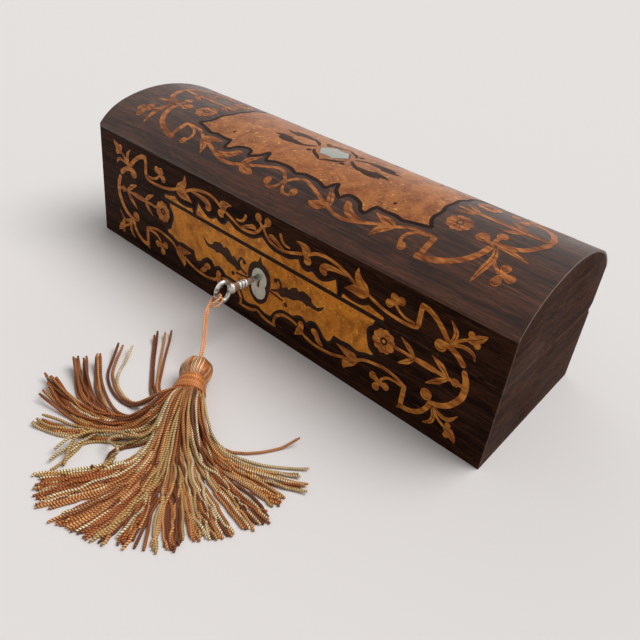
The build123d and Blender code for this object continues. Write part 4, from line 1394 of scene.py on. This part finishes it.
@dataclass
class FrontMarquetry:
    """Scrolling leaves, daisies and burr fields on the front of the base and the lid."""

    axis: float = 0.6
    split_low: float = 42.7
    split_high: float = 44.8

    def lid(self) -> Pattern:
        """The upper part, on the lid's upright front."""
        p = Pattern()
        top = [
            (self.axis, 53.3, 1), (3, 52), (6, 50.2), (10, 49.3), (16, 49.3), (20, 49.6), (24, 51.5), (26.5, 52.3, 1),
            (27.5, 50), (29, 48.7), (32, 48.3), (35, 50, 1), (37, 49), (39, 48), (42, 47.8), (46, 49.8), (50.2, 53, 1),
            (51, 50), (52, 46.5), (52, self.split_high, 1),
        ]
        bay = [
            (54, self.split_high, 1), (54, 46), (55, 47.5, 1), (60, 46.5), (66, 46.8), (70, 49, 1), (75, 47.7),
            (79.3, 46.6), (79.3, self.split_high, 1),
        ]
        p.shape([(self.axis, self.split_high, 1)] + top, Wood.BURR)
        p.shape(bay, Wood.BURR)
        p.stroke(top, 1.3, Wood.OUTLINE)
        p.stroke(bay, 1.1, Wood.OUTLINE)
        p.stroke([(self.axis, 44.15), (40, 44.15), (79.6, 44.15)], 0.9, Wood.OUTLINE)
        p.boss((3.9, 62.2), 2.3)
        p.stroke([(3.6, 61), (1.8, 59.2), (self.axis, 57.6)], 1.7)
        p.stroke([
            (1, 58.6), (2.5, 56), (6, 53), (12, 51.5), (18, 52), (25, 54.5), (28, 55.5),
        ], [1.2, 1.7, 1.7, 1.6, 1.6, 1.7, 1.8])
        p.leaf([(5, 54.6), (7.2, 55.7), (12, 54), (16, 52.5)], (0.8, 2.6, 1.9, 0.5))
        p.stroke([(12.8, 60.2), (13.9, 57.2), (16.5, 55.2), (20, 54.9)], (2, 1.7, 1.4, 1))
        p.shape([
            (23.3, 60.4, 1), (26, 61.2), (30.5, 61.1), (32.8, 59.4), (32.9, 57.2), (31, 55.9, 1), (33.6, 54.9),
            (34, 52.6), (31.7, 51.1), (29.5, 52.1), (29.5, 54), (28.2, 55.3), (27.7, 57.4), (26, 59.4),
        ])
        p.vein([(31, 55.9), (30.6, 58), (28, 59.7), (24.6, 60.3)])
        p.stroke([(31, 56.2), (33.5, 57.8), (37, 59.5), (42, 60.3), (48, 59.8), (55, 58), (60, 55.5), (63, 54.5)], 1.7)
        p.shape([
            (59, 56.4, 1), (52, 57.4), (46, 57.6), (41.5, 56.6), (39.4, 54), (40, 51.6), (42.5, 50.6), (44.4, 51.8),
            (43.8, 53.2), (46, 54.8), (51, 55.7),
        ])
        p.vein([(57, 56.4), (50, 56.5), (44.5, 55.8), (41.6, 53)])
        p.shape([
            (69.5, 53.6, 1), (67.4, 57.4), (63.6, 60), (61.6, 63.8, 1), (60.1, 60.2), (60.6, 57.2), (62.6, 55.2, 1),
            (59, 53.6), (55, 50.1, 1), (59, 50), (65, 49.6), (68.2, 51.3),
        ])
        p.vein([(68.4, 54.6), (64.8, 57.2), (62.2, 61.8)])
        p.vein([(67.6, 52.6), (62, 51.7), (57, 50.5)])
        p.stroke([(69, 53.2), (72, 52), (76, 50.8), (82, 49.7), (90, 49.3), (95, 50), (97, 51.5)], 1.7)
        p.trefoil((83.4, 56.6), [(80.5, 54.8), (82.5, 58.6), (86.3, 58.5)], 2.1)
        p.stroke([(83.6, 56.4), (85, 54.5), (88, 52.5), (91, 51.7), (95, 51.6)], 1.4)
        p.stroke([(96.6, 50.8), (96.6, 62.4)], 2.5)
        p.stroke([(95.6, 61.8), (99.5, 61.6), (103, 60), (106.5, 57.5), (109.5, 54.5), (111.8, 51.9)], 2.5)
        p.boss((108.8, 48.3), 3)
        p.stroke([(109.5, 50.4), (114.5, 49.3), (118, 47.5), (121.8, 44.3)], (2.2, 2.7, 2.8, 2.8))
        p.leaf([(112.2, 51), (114, 54), (114.2, 58), (110.8, 62.2)], (1, 2.2, 2.4, 0.3))
        p.stroke([(113.4, 51), (116.5, 54.8), (120.3, 57.6)], 1.4)
        p.leaf([(119.4, 57), (122.4, 58.4), (125.2, 60.6), (128, 63.2)], (1.6, 4.4, 3.4, 0.3))
        p.boss((120.9, 60.4), 1.6)
        p.boss((124.3, 56.9), 1.6)
        p.leaf([(113.4, 50.8), (117.5, 52.8), (121, 53.2), (124, 52), (125.2, 49.2)], (0.8, 1.7, 1.9, 1.6, 0.3))
        return p.mirrored(self.axis)

    def base(self) -> Pattern:
        """The lower part, on the base's front."""
        p = Pattern()
        field_edge = [
            (75.5, self.split_low, 1), (74.5, 39.5), (72.3, 37), (72, 34.5), (73, 31), (74.5, 27.5), (78, 25.5, 1),
            (76.5, 23.5), (73, 22.8), (70, 21.5, 1), (67, 21), (63, 22), (58, 21.5), (53.5, 21.6, 1), (52, 18),
            (50, 16.5), (47, 17.5), (44, 20.5), (41, 22.5, 1), (38, 22), (35.5, 19.5), (34, 20), (32, 21.3, 1),
            (29, 20.5), (26, 18.5), (22, 18.5), (18, 18), (14, 15), (12, 12), (11, 10.3, 1), (7, 10), (3, 11),
            (self.axis, 12, 1),
        ]
        surround = [
            (self.axis, 41.8, 1), (2.4, 38.2), (4.6, 37.4), (7.8, 34.4), (9, 29.5), (8.4, 24), (7, 18.6), (4, 15),
            (self.axis, 13.8, 1),
        ]
        shell = [
            (self.axis, 16.4, 1), (4, 18), (5.9, 21.4), (5.6, 24.8, 1), (6.1, 27.6), (5.6, 31.2), (3.4, 33.9),
            (self.axis, 34.8, 1),
        ]
        inner = [(max(x - 0.6, self.axis), *rest) for x, *rest in reversed(surround)]
        p.shape([(self.axis, self.split_low, 1)] + field_edge + inner, Wood.BURR)
        p.stroke(field_edge, 1.5, Wood.OUTLINE)
        p.stroke([(self.axis, 42.9), (40, 42.9), (79.6, 42.9)], 0.7, Wood.OUTLINE)
        p.stroke([(self.axis, 9.8), (4, 8), (9, 7), (15, 6.9)], (1.2, 1.8, 1.8, 1.2))
        p.stroke([
            (13.3, 7.4), (13.5, 11), (16, 14.5), (20, 16.3), (25, 16.5), (29.5, 15.3),
        ], (1.2, 1.9, 1.9, 1.8, 1.7, 1.5))
        p.shape([
            (33.4, 13.4, 1), (33.9, 15.8), (33.2, 18.4), (31.4, 19), (29.9, 17.6), (30.2, 15.6), (29.2, 13.4),
            (28.3, 9.3, 1), (31.4, 10.6), (33.2, 11.9),
        ])
        p.vein([(32.6, 13.8), (31, 12.2), (29, 10)])
        p.stroke([(32, 14.2), (34.5, 12.3), (37, 11.3), (42, 10.5), (50, 10.8), (56, 12), (61.5, 14.2)], 1.7)
        p.shape([
            (38.8, 18), (40.8, 19.5), (43.2, 18.3), (44.6, 16), (47.8, 12.2, 1), (45, 12.1), (42.8, 13.2),
            (41.4, 15.4), (39.4, 16.2),
        ])
        p.vein([(46, 13), (43.4, 15.6), (41.2, 17.8)])
        p.shape([
            (69.3, 16.6, 1), (68, 18.3), (66, 19.6), (60, 19.4), (55.2, 19, 1), (59, 17), (62.4, 15.2, 1), (60.7, 13),
            (60.2, 10.6), (61.6, 7.6, 1), (63.6, 9.8), (67, 12.2), (68.8, 14.8),
        ])
        p.vein([(68.2, 17), (63, 18.2), (57.4, 18.6)])
        p.vein([(67.6, 15), (64, 12), (62, 9)])
        p.stroke([(68.6, 16.4), (72, 18.8), (78, 20.5), (85, 21.2), (92, 20), (96.6, 18.3)], 1.7)
        p.trefoil((82.8, 12.2), [(79, 14), (86.6, 12), (81.5, 8.9)], 2.1)
        p.stroke([(83.2, 12.6), (84.2, 15), (87, 17.3), (91, 18), (95, 17.6)], 1.4)
        p.stroke([(96.3, 6.8), (96.3, 19.2)], 2.6)
        p.leaf([(97, 8.4), (96.2, 6.8), (94.2, 5)], (1.6, 2, 0.3))
        p.stroke([(110.8, 19.4), (109.5, 15), (107.5, 11.5), (104.5, 9), (100, 7.3), (95.8, 7.2)], 2.5)
        p.boss((107.6, 21.2), 3)
        p.stroke([
            (121.7, 42.9), (123.8, 38.6), (124.4, 34.5), (124, 30), (122, 26), (119, 22.2), (115, 19.6), (110, 18.2),
        ], (2.8, 3, 3.2, 3.1, 3, 2.8, 2.6, 2.2))
        p.leaf([(112.4, 17.6), (117, 15), (121, 15.4), (124.6, 19.8)], (1, 1.9, 2, 0.3))
        p.stroke([(112.6, 16.8), (115.6, 12.8), (120.4, 10.2)], 1.4)
        p.leaf([(119.2, 10.8), (122.4, 9.4), (124.6, 7.5), (126.5, 5)], (1.6, 4.8, 3.4, 0.3))
        p.boss((121.2, 12.4), 1.5)
        p.boss((121.4, 6.9), 1.5)
        p.leaf([(111.6, 17), (113.4, 13), (112.8, 9), (109, 6)], (1, 2.2, 2.3, 0.3))
        p.daisy((81.3, 34.8), 6.4)
        p.stroke([(87.4, 35), (92, 35.2), (99, 35)], 1.7)
        p.leaf([(98.6, 35), (94.6, 38.8), (89.4, 42)], (1, 2.8, 0.3))
        p.leaf([(98.6, 35), (95, 31.6), (90.4, 28.3)], (1, 2.8, 0.3))
        p.stroke([(98, 35.1), (104, 35.2), (110, 35.2)], (2.2, 3.2, 2.4))
        p.leaf([(116, 35), (111.4, 39), (105.8, 41.9)], (1.2, 3.2, 0.3))
        p.leaf([(116, 35), (111.6, 31), (105.8, 26.6)], (1.2, 3.2, 0.3))
        p.stroke([(109, 35.2), (114, 35.1), (124, 35)], 1.8)
        p.boss((119.4, 35), 2)
        p.stroke([(7.6, 25.6), (12, 25), (18.4, 24.2)], 1.2, Wood.DARK)
        p.boss((20.4, 22.9), 1.3, Wood.DARK)
        p.stroke([
            (9.4, 26.6), (14.5, 28.5), (16.3, 31.6), (14.5, 34.6), (12, 33.4),
        ], (1, 1.6, 1.7, 1.5, 1.2), Wood.DARK)
        p.boss((12.2, 33.2), 1.3, Wood.DARK)
        p.shape([
            (14.6, 27.8, 1), (17.5, 31.5), (20.5, 33.5, 1), (21.6, 32.6), (24, 35), (27, 36, 1), (28.4, 34.8),
            (31, 36.3), (35, 35.5), (37, 34.5, 1), (37.4, 33), (41, 32), (45.4, 34.7, 1), (44, 32), (41.5, 30),
            (36, 30), (34.3, 29.1, 1), (31, 30.2), (27.2, 29.3, 1), (25, 28), (20, 27.3), (17, 26),
        ], Wood.DARK)
        p.shape(surround + shell, Wood.DARK)
        return p.mirrored(self.axis)

    def build(self) -> None:
        """Lay it on both bodies."""
        for body, pattern in (("base", self.base()), ("lid", self.lid())):
            lay(pattern, Front(), f"{body}_front", body, BURR_FRONT, SATINWOOD)


@dataclass
class DomeMarquetry:
    """The same scrolls carried over the dome, round a burr field and the shell cartouche."""

    axis: float = 0.6
    dome: Dome = field(default_factory=Dome)

    def pattern(self) -> Pattern:
        """The whole dome's pattern, from its front right quarter."""
        mid = self.dome.middle()
        p = Pattern()
        edge = [
            (self.axis, 24, 1), (5, 26), (10, 26.3), (16, 25.5), (21, 24), (23.5, 29), (25, 29.6, 1), (27, 25.5),
            (30, 23), (32, 22), (34, 25.5), (38, 26), (43, 24), (46, 20.5), (49, 20.5), (50, 24), (51, 26.5, 1),
            (56, 26), (62, 26.5), (66, 25.5), (70, 26.5), (80, 29, 1), (77.5, 32), (76, 36), (76.5, 42), (75, 48),
            (75.4, mid, 1),
        ]
        shell = [(10.6, mid, 1), (5.3, mid - 7.3, 1), (self.axis, mid - 6.6, 1)]
        p.shape(shell + edge, Wood.BURR)
        p.stroke(edge[:-1] + [(75.4, mid)], 2, Wood.OUTLINE)
        p.stroke([(1, 17), (2, 18.4), (5, 21.5), (9.5, 22.8), (14, 21.5), (20, 19), (25, 16.8), (29.5, 15.1)], 1.9)
        p.stroke([(1.2, 17.4), (2.5, 13), (5, 10.6), (8, 10.9), (9.6, 12.6)], (1.4, 1.8, 1.7, 1.5, 1.4))
        p.boss((9.5, 13.6), 2.2)
        p.leaf([(31.3, 15), (29.7, 17.8), (27.6, 21), (24.2, 25.2)], (1.4, 3.8, 3.2, 0.3))
        p.shape([(31.2, 14.6, 1), (29, 16.2), (24, 15.4), (20, 13, 1), (22, 11.2), (27, 10.9), (29.9, 12.8)])
        p.vein([(30.4, 14.4), (26.6, 13.4), (22, 12.9)])
        p.stroke([(30.4, 14.8), (36, 12.8), (42, 12.2), (48, 13.5), (54, 15.8), (58, 17.5), (62, 18.8)], 1.9)
        p.shape([(36.5, 22.4, 1), (38, 18), (42, 14.6), (48, 14), (55, 15.6, 1), (48, 16.7), (43, 18.7), (39.6, 22)])
        p.vein([(53, 15.5), (46, 15.7), (41.2, 17.8), (38, 21)])
        p.shape([
            (66.6, 19.2, 1), (65, 22.4), (60, 23.6), (56, 23.3), (53, 23, 1), (57, 20.8), (60.6, 18.4, 1),
            (58.4, 14.5), (58.2, 10, 1), (61.4, 13.4), (64.6, 16.2),
        ])
        p.vein([(65.2, 20.2), (60.6, 21.6), (55, 22.6)])
        p.vein([(64.4, 18), (61.4, 15.6), (59, 11.8)])
        p.stroke([(65.8, 19.6), (70, 22.5), (75, 24), (80, 24.3), (85.5, 24)], 1.9)
        p.stroke([(82, 23.6), (77, 22.5), (73.5, 19.5), (72.8, 16), (74.2, 13.2)], 1.7)
        p.boss((75.2, 12.9), 2.1)
        p.stroke([(85, 11.6), (85, 24.8)], 2.9)
        p.stroke([(82.6, 11.8), (88, 12.5), (94, 14.5), (100, 18), (104, 22.5), (106.5, 28), (107.7, 34.5)], 3.1)
        p.boss((101, 37), 3.3)
        p.stroke([(101, 36.4), (105, 35.4), (108, 35.6)], 2.2)
        p.boss((107.4, 43), 2.7)
        p.stroke([
            (107.4, 42), (107.2, 37), (113, 37.2), (118, 39), (122, 43.5), (124.5, 49.5), (125.4, mid),
        ], (1.8, 2.4, 3, 3.1, 3.2, 3.2, 3.2))
        p.leaf([(109, 35), (117, 34.8), (125.5, 32.8)], (1.2, 2.6, 0.3))
        p.leaf([(109.6, 34), (112, 27.5), (111.6, 20), (110.4, 11.4)], (1.2, 3.2, 2.9, 0.3))
        p.stroke([(110, 32), (113.5, 25.5), (118.4, 21)], 1.7)
        p.trefoil((119.4, 21), [(119.4, 24.9), (123.6, 21), (119.4, 16.9)], 2.4)
        p.daisy((87.5, 40), 6.6)
        p.stroke([(78, mid), (98, mid), (124, mid)], (2, 2.8, 2.6))
        p.leaf([(89, mid - 0.4), (84.6, mid - 3.8), (78.8, mid - 6)], (1.2, 3, 0.3))
        p.leaf([(114, mid - 0.4), (108.6, mid - 4), (102.4, mid - 6.6)], (1.2, 3.3, 0.3))
        p.stroke([
            (13, mid - 1), (17, 49.5), (22.5, 47.2), (28, 48.4), (30.4, 51.2),
        ], (1.4, 2.4, 2.6, 1.8, 1.2), Wood.DARK)
        p.shape([
            (20, 49.6, 1), (25, 45.6), (31, 44.8), (36, 46.6, 1), (35.6, 48.2), (40.6, 48.6, 1), (37, 51), (31, 51.8),
            (27.4, 50.4),
        ], Wood.DARK)
        p.boss((30.4, 51), 1.4, Wood.DARK)
        p.stroke([(11.4, 49.4), (8, 45.8), (3.6, 43.4), (self.axis, 41)], (1.2, 2.2, 2, 0.6), Wood.DARK)
        p.boss((12.2, 46.2), 1.5, Wood.DARK)
        p.boss((56, 33.5), 1, Wood.DARK)
        return p.mirrored(self.axis).mirrored(mid, upright=True)

    def build(self) -> None:
        """Lay it on the lid."""
        lay(self.pattern(), self.dome, "dome", "lid", BURR_DOME, SATINWOOD_DOME)


# ---------------------------------------------------------------- silk linings
@dataclass(frozen=True)
class Patch:
    """A piece of silk on one inner face of the box, in millimetres.

    Attributes:
        name: the piece's name.
        place: turns (across, along, height off the face) into a point.
        across, along: where the silk starts and ends.
        relief: height of the silk's face from (across, along), off the face that it covers.
        step: size of its mesh.
        bay: across and along ranges that are cut out of it, if any.
        backing: height of its back off that face.
    """

    name: str
    place: Callable[[float, float, float], Vector]
    across: Point
    along: Point
    relief: Callable[[float, float], float]
    step: float
    bay: tuple[Point, Point] | None = None
    backing: float = 0.05

    def lines(self, ends: Point, cuts: Sequence[float]) -> list[float]:
        """Evenly spaced mesh lines, with one at each edge of the bay."""
        count = max(2, round((ends[1] - ends[0]) / self.step))
        even = [ends[0] + (ends[1] - ends[0]) * i / count for i in range(count + 1)]
        for cut in cuts:
            even[min(range(len(even)), key=lambda i: abs(even[i] - cut))] = cut
        return even

    def in_bay(self, u: float, v: float) -> bool:
        """Whether a place is in the part that is cut out."""
        return bool(self.bay) and all(low < at < high for at, (low, high) in zip((u, v), self.bay))

    def build(self, finish: Finish, body: str, node: str) -> bpy.types.Object:
        """Make the silk, closed at its back and rim.

        Args:
            finish: its finish.
            body: the body that carries it.
            node: the CAD node that it stands for.

        Returns:
            The piece.
        """
        us = self.lines(self.across, self.bay[0] if self.bay else ())
        vs = self.lines(self.along, self.bay[1][:1] if self.bay else ())
        flat = bmesh.new()
        grid = [[flat.verts.new(self.place(u, v, self.relief(u, v))) for v in vs] for u in us]
        for i in range(len(us) - 1):
            for j in range(len(vs) - 1):
                if not self.in_bay((us[i] + us[i + 1]) / 2, (vs[j] + vs[j + 1]) / 2):
                    flat.faces.new((grid[i][j], grid[i + 1][j], grid[i + 1][j + 1], grid[i][j + 1]))
        plan = {vertex: (u, v) for row, u in zip(grid, us) for vertex, v in zip(row, vs)}
        loose = [v for v in flat.verts if not v.link_faces]
        fronts = list(flat.faces)
        back = {
            vertex: flat.verts.new(self.place(u, v, self.backing))
            for vertex, (u, v) in plan.items() if vertex.link_faces
        }
        rims = [edge.link_loops[0] for edge in flat.edges if edge.is_boundary]
        sides = [(loop.vert, loop.link_loop_next.vert) for loop in rims]
        for face in fronts:
            flat.faces.new([back[v] for v in reversed(face.verts)])
        for first, second in sides:
            flat.faces.new((second, first, back[first], back[second]))
        bmesh.ops.delete(flat, geom=loose, context="VERTS")
        bmesh.ops.recalc_face_normals(flat, faces=flat.faces)
        mesh = bpy.data.meshes.new(self.name)
        flat.to_mesh(mesh)
        flat.free()
        return add_piece(mesh, finish, body, node)


def ease(value: float, reach: float) -> float:
    """A rounded rise from 0 at an edge to 1 at a distance of reach from it."""
    t = min(1.0, max(0.0, value / reach))
    return math.sqrt(1 - (1 - t) ** 2)


def quilted(ends: Point, sides: Point, low: float, rise: float, pitch: float) -> Callable[[float, float], float]:
    """Relief of buttoned quilting: pillows between crossed diagonal seams, sunk at the edges.

    Args:
        ends: where it starts and ends across.
        sides: where it starts and ends along.
        low: height at the edge and at the buttons.
        rise: how far the pillows stand above that.
        pitch: distance between buttons.

    Returns:
        The relief.
    """
    middle = sum(ends) / 2, sum(sides) / 2
    hem = 4.0

    def relief(u: float, v: float) -> float:
        """Height at one place."""
        edge = ease(min(u - ends[0], ends[1] - u), hem) * ease(min(v - sides[0], sides[1] - v), hem)
        a = math.pi * (u - middle[0] + v - middle[1]) / pitch
        b = math.pi * (u - middle[0] - v + middle[1]) / pitch
        pillow = (abs(math.sin(a)) ** 0.6 * abs(math.sin(b)) ** 0.6) ** 0.5
        crease = 0.06 * math.sin(a * 7.0) * math.sin(b * 5.0 + 0.7) * (1 - pillow)
        return low + rise * edge * (0.25 + 0.75 * pillow + crease)

    return relief


@dataclass
class SilkInterior:
    """Ruched silk on the walls, a buttoned floor pad and a buttoned lid lining."""

    inner_x: float = 131.0
    inner_y: float = 39.5
    corner: float = 1.2
    floor: float = 5.0
    rim: float = 42.3
    bay_half: float = 31.0
    bay_low: float = 17.3
    pad_height: float = 4.0
    pad_inset: float = 1.5
    lining_inset: float = 7.0
    wall_step: float = 0.8
    quilt_step: float = 1.2
    dome: Dome = field(default_factory=Dome)

    def ruche(self, u: float, v: float) -> float:
        """Height of the wall silk: small upright gathers under a rolled hem."""
        hem = 0.34 * ease(v - (self.rim - 1.9), 0.8) * ease(self.rim - v, 0.7)
        gather = 0.5 + 0.5 * math.sin(u * 1.9 + 1.1 * math.sin(u * 0.37) + 0.25 * math.sin(v * 0.3))
        return 0.72 + hem + 0.26 * gather * min(1.0, max(0.0, (self.rim - 2.0 - v) / 3.0))

    def build_wall(self, side: str, place: Callable, half: float, bay: bool = False) -> None:
        """Make one wall's silk.

        Args:
            side: which wall it is on.
            place: turns (across, up, height off the wall) into a point.
            half: half its width.
            bay: whether it is cut out round the lock.
        """
        name = f"lining_{side}"
        hole = ((-self.bay_half, self.bay_half), (self.bay_low, self.rim)) if bay else None
        patch = Patch(name + "_silk", place, (-half, half), (self.floor, self.rim), self.ruche, self.wall_step, hole)
        silk = patch.build(SILK_WALL, "base", name)

    def build_walls(self) -> None:
        """The four walls of the base."""
        x, y = self.inner_x, self.inner_y
        end = y - self.corner
        self.build_wall("front", lambda u, v, h: Vector((u, -y + h, v)) * MM, x, True)
        self.build_wall("back", lambda u, v, h: Vector((-u, y - h, v)) * MM, x)
        self.build_wall("left", lambda u, v, h: Vector((-x + h, -u, v)) * MM, end)
        self.build_wall("right", lambda u, v, h: Vector((x - h, u, v)) * MM, end)

    def over_floor(self, u: float, v: float, h: float) -> Vector:
        """A point at a height above the base's floor."""
        return Vector((u, v, self.floor + h)) * MM

    def under_dome(self, u: float, v: float, h: float) -> Vector:
        """A point at a height off the lid's inner face, into the box."""
        return self.dome.place(-u, v, -self.lining_inset - h)

    def build_pad(self) -> None:
        """The buttoned floor pad."""
        ends, sides = ((self.pad_inset - half, half - self.pad_inset) for half in (self.inner_x, self.inner_y))
        relief = quilted(ends, sides, low=self.pad_height - 1.6, rise=1.9, pitch=27.0)
        patch = Patch("floor_pad_silk", self.over_floor, ends, sides, relief, self.quilt_step)
        patch.build(SILK_PAD, "base", "floor_pad")

    def build_lid(self) -> None:
        """The buttoned silk that follows the dome inside the lid."""
        dome, inset = self.dome, self.lining_inset
        middle = dome.middle()
        start = next(a / 10 for a in range(400) if abs(dome.place(0, a / 10, -inset).y) <= self.inner_y * MM)
        ends, sides = (-self.inner_x, self.inner_x), (start, 2 * middle - start)
        relief = quilted(ends, sides, low=0.75, rise=1.5, pitch=25.0)
        patch = Patch("lid_lining_silk", self.under_dome, ends, sides, relief, self.quilt_step)
        silk = patch.build(SILK_WALL, "lid", "lid_lining")
        steps = range(int(start), int(middle))
        inside = 2 * sum((dome.place(0, a + 1, -inset) - dome.place(0, a, -inset)).length for a in steps)

    def build(self) -> None:
        """All the silk."""
        self.build_walls()
        self.build_pad()
        self.build_lid()


# ---------------------------------------------------------------- the CAD's own nodes
CAD_FINISHES = (
    ROSEWOOD_FRONT, ROSEWOOD_PLAIN, PINE, SILK_WALL, SILK_PAD, BRASS, STEEL_INNER, STEEL_KEY, PEARL, HEAD_THREAD,
    CORD_SILK, CORE_WOOD,
)
SLOT_FINISHES = {finish.slot: finish for finish in CAD_FINISHES}
NODE_FINISHES = {"lid_top_veneer": ROSEWOOD_DOME, "lid_cartouche": PEARL_CROWN}


def dress_nodes(frame: dict) -> None:
    """Give each CAD node the finish of its material slot, or its own.
    """
    for row in frame["record"]["subparts"]:
        node = row["node"]
        finish = NODE_FINISHES.get(node, SLOT_FINISHES[row["material_slot"]])
        piece = frame["nodes"][node]
        if not piece.material_slots:
            piece.data.materials.append(finish.material())
        for material_slot in piece.material_slots:
            material_slot.material = finish.material()
        LOG.info("%s: %s", node, finish.name)


# ---------------------------------------------------------------- studio
@dataclass
class Studio:
    """Floor, lamp, sky and the camera that the photograph was taken from."""

    camera_place: Spot = (199.26, -242.40, 193.44)
    camera_turn: Spot = (60.7845, -9.0457, 37.6977)
    lens: float = 34.636
    sensor: float = 36.0
    shift: Point = (-0.0997, -0.0719)
    clip: Point = (0.01, 60.0)
    floor_half: float = 9.0
    floor_drop: float = 0.00005
    sun_way: Spot = (0.42, 0.36, 1.0)
    sun_width: float = 42.0
    sun_power: float = 2.3
    glow_way: Spot = (-0.76, 0.62, 0.12)
    glow_edge: Point = (0.72, 1.0)
    glow_power: Point = (0.38, 1.2)
    background: str = "#e3dfdd"

    def camera(self) -> None:
        """The photograph's viewpoint."""
        data = bpy.data.cameras.new("camera")
        data.lens = self.lens
        data.sensor_width = self.sensor
        data.shift_x, data.shift_y = self.shift
        data.clip_start, data.clip_end = self.clip
        eye = link("camera", data)
        eye.location = Vector(self.camera_place) * MM
        eye.rotation_euler = [math.radians(a) for a in self.camera_turn]
        bpy.context.scene.camera = eye

    def floor(self) -> None:
        """A wide pale floor under the box, just below it."""
        half = self.floor_half
        corners = [(x, y, -self.floor_drop) for x, y in ((-half, -half), (half, -half), (half, half), (-half, half))]
        mesh = new_mesh("floor", corners, [(0, 1, 2, 3)])
        mesh.materials.append(FLOOR.material())
        link("floor", mesh)

    def sun(self) -> None:
        """A wide, even light from above, whose width softens the shadows."""
        data = bpy.data.lights.new("window", "SUN")
        data.energy = self.sun_power
        data.angle = math.radians(self.sun_width)
        link("window", data).rotation_euler = (-Vector(self.sun_way)).to_track_quat("-Z", "Y").to_euler()

    def world(self) -> None:
        """Even pale light, stronger from one side, with a plain pale background for what is seen or mirrored."""
        world = bpy.data.worlds.new("studio")
        world.use_nodes = True
        world.node_tree.nodes.clear()
        wiring = Wiring(world.node_tree)
        way = wiring.add("TexCoord").outputs["Generated"]
        facing = wiring.dot(way, tuple(Vector(self.glow_way).normalized()))
        glow = wiring.fit(facing, *self.glow_edge, *self.glow_power)
        light = wiring.add("Background", {"Color": "#ffffff", "Strength": glow})
        seen = wiring.add("Background", {"Color": self.background, "Strength": 1.0})
        rays = wiring.add("LightPath").outputs
        mirrored = wiring.math("MAXIMUM", rays["Is Glossy Ray"], rays["Is Transmission Ray"])
        shown = wiring.math("MAXIMUM", rays["Is Camera Ray"], mirrored)
        both = wiring.add("MixShader", {0: shown, 1: light.outputs[0], 2: seen.outputs[0]})
        wiring.add("OutputWorld", {"Surface": both.outputs[0]})
        bpy.context.scene.world = world

    def build(self) -> None:
        """Everything round the box."""
        self.camera()
        self.floor()
        self.world()
        self.sun()
        bpy.context.scene.view_settings.view_transform = "Standard"
        LOG.info("studio set")


def main() -> None:
    """Dress the frame, add the soft and inlaid work and set the studio."""
    logging.basicConfig(level=logging.INFO, format="%(name)s: %(message)s")
    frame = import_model()
    Studio().build()
    TasselCord().build()
    dress_nodes(frame)
    FrontMarquetry().build()
    DomeMarquetry().build()
    SilkInterior().build()
    Tassel().build()


if __name__ == "__main__":
    main()
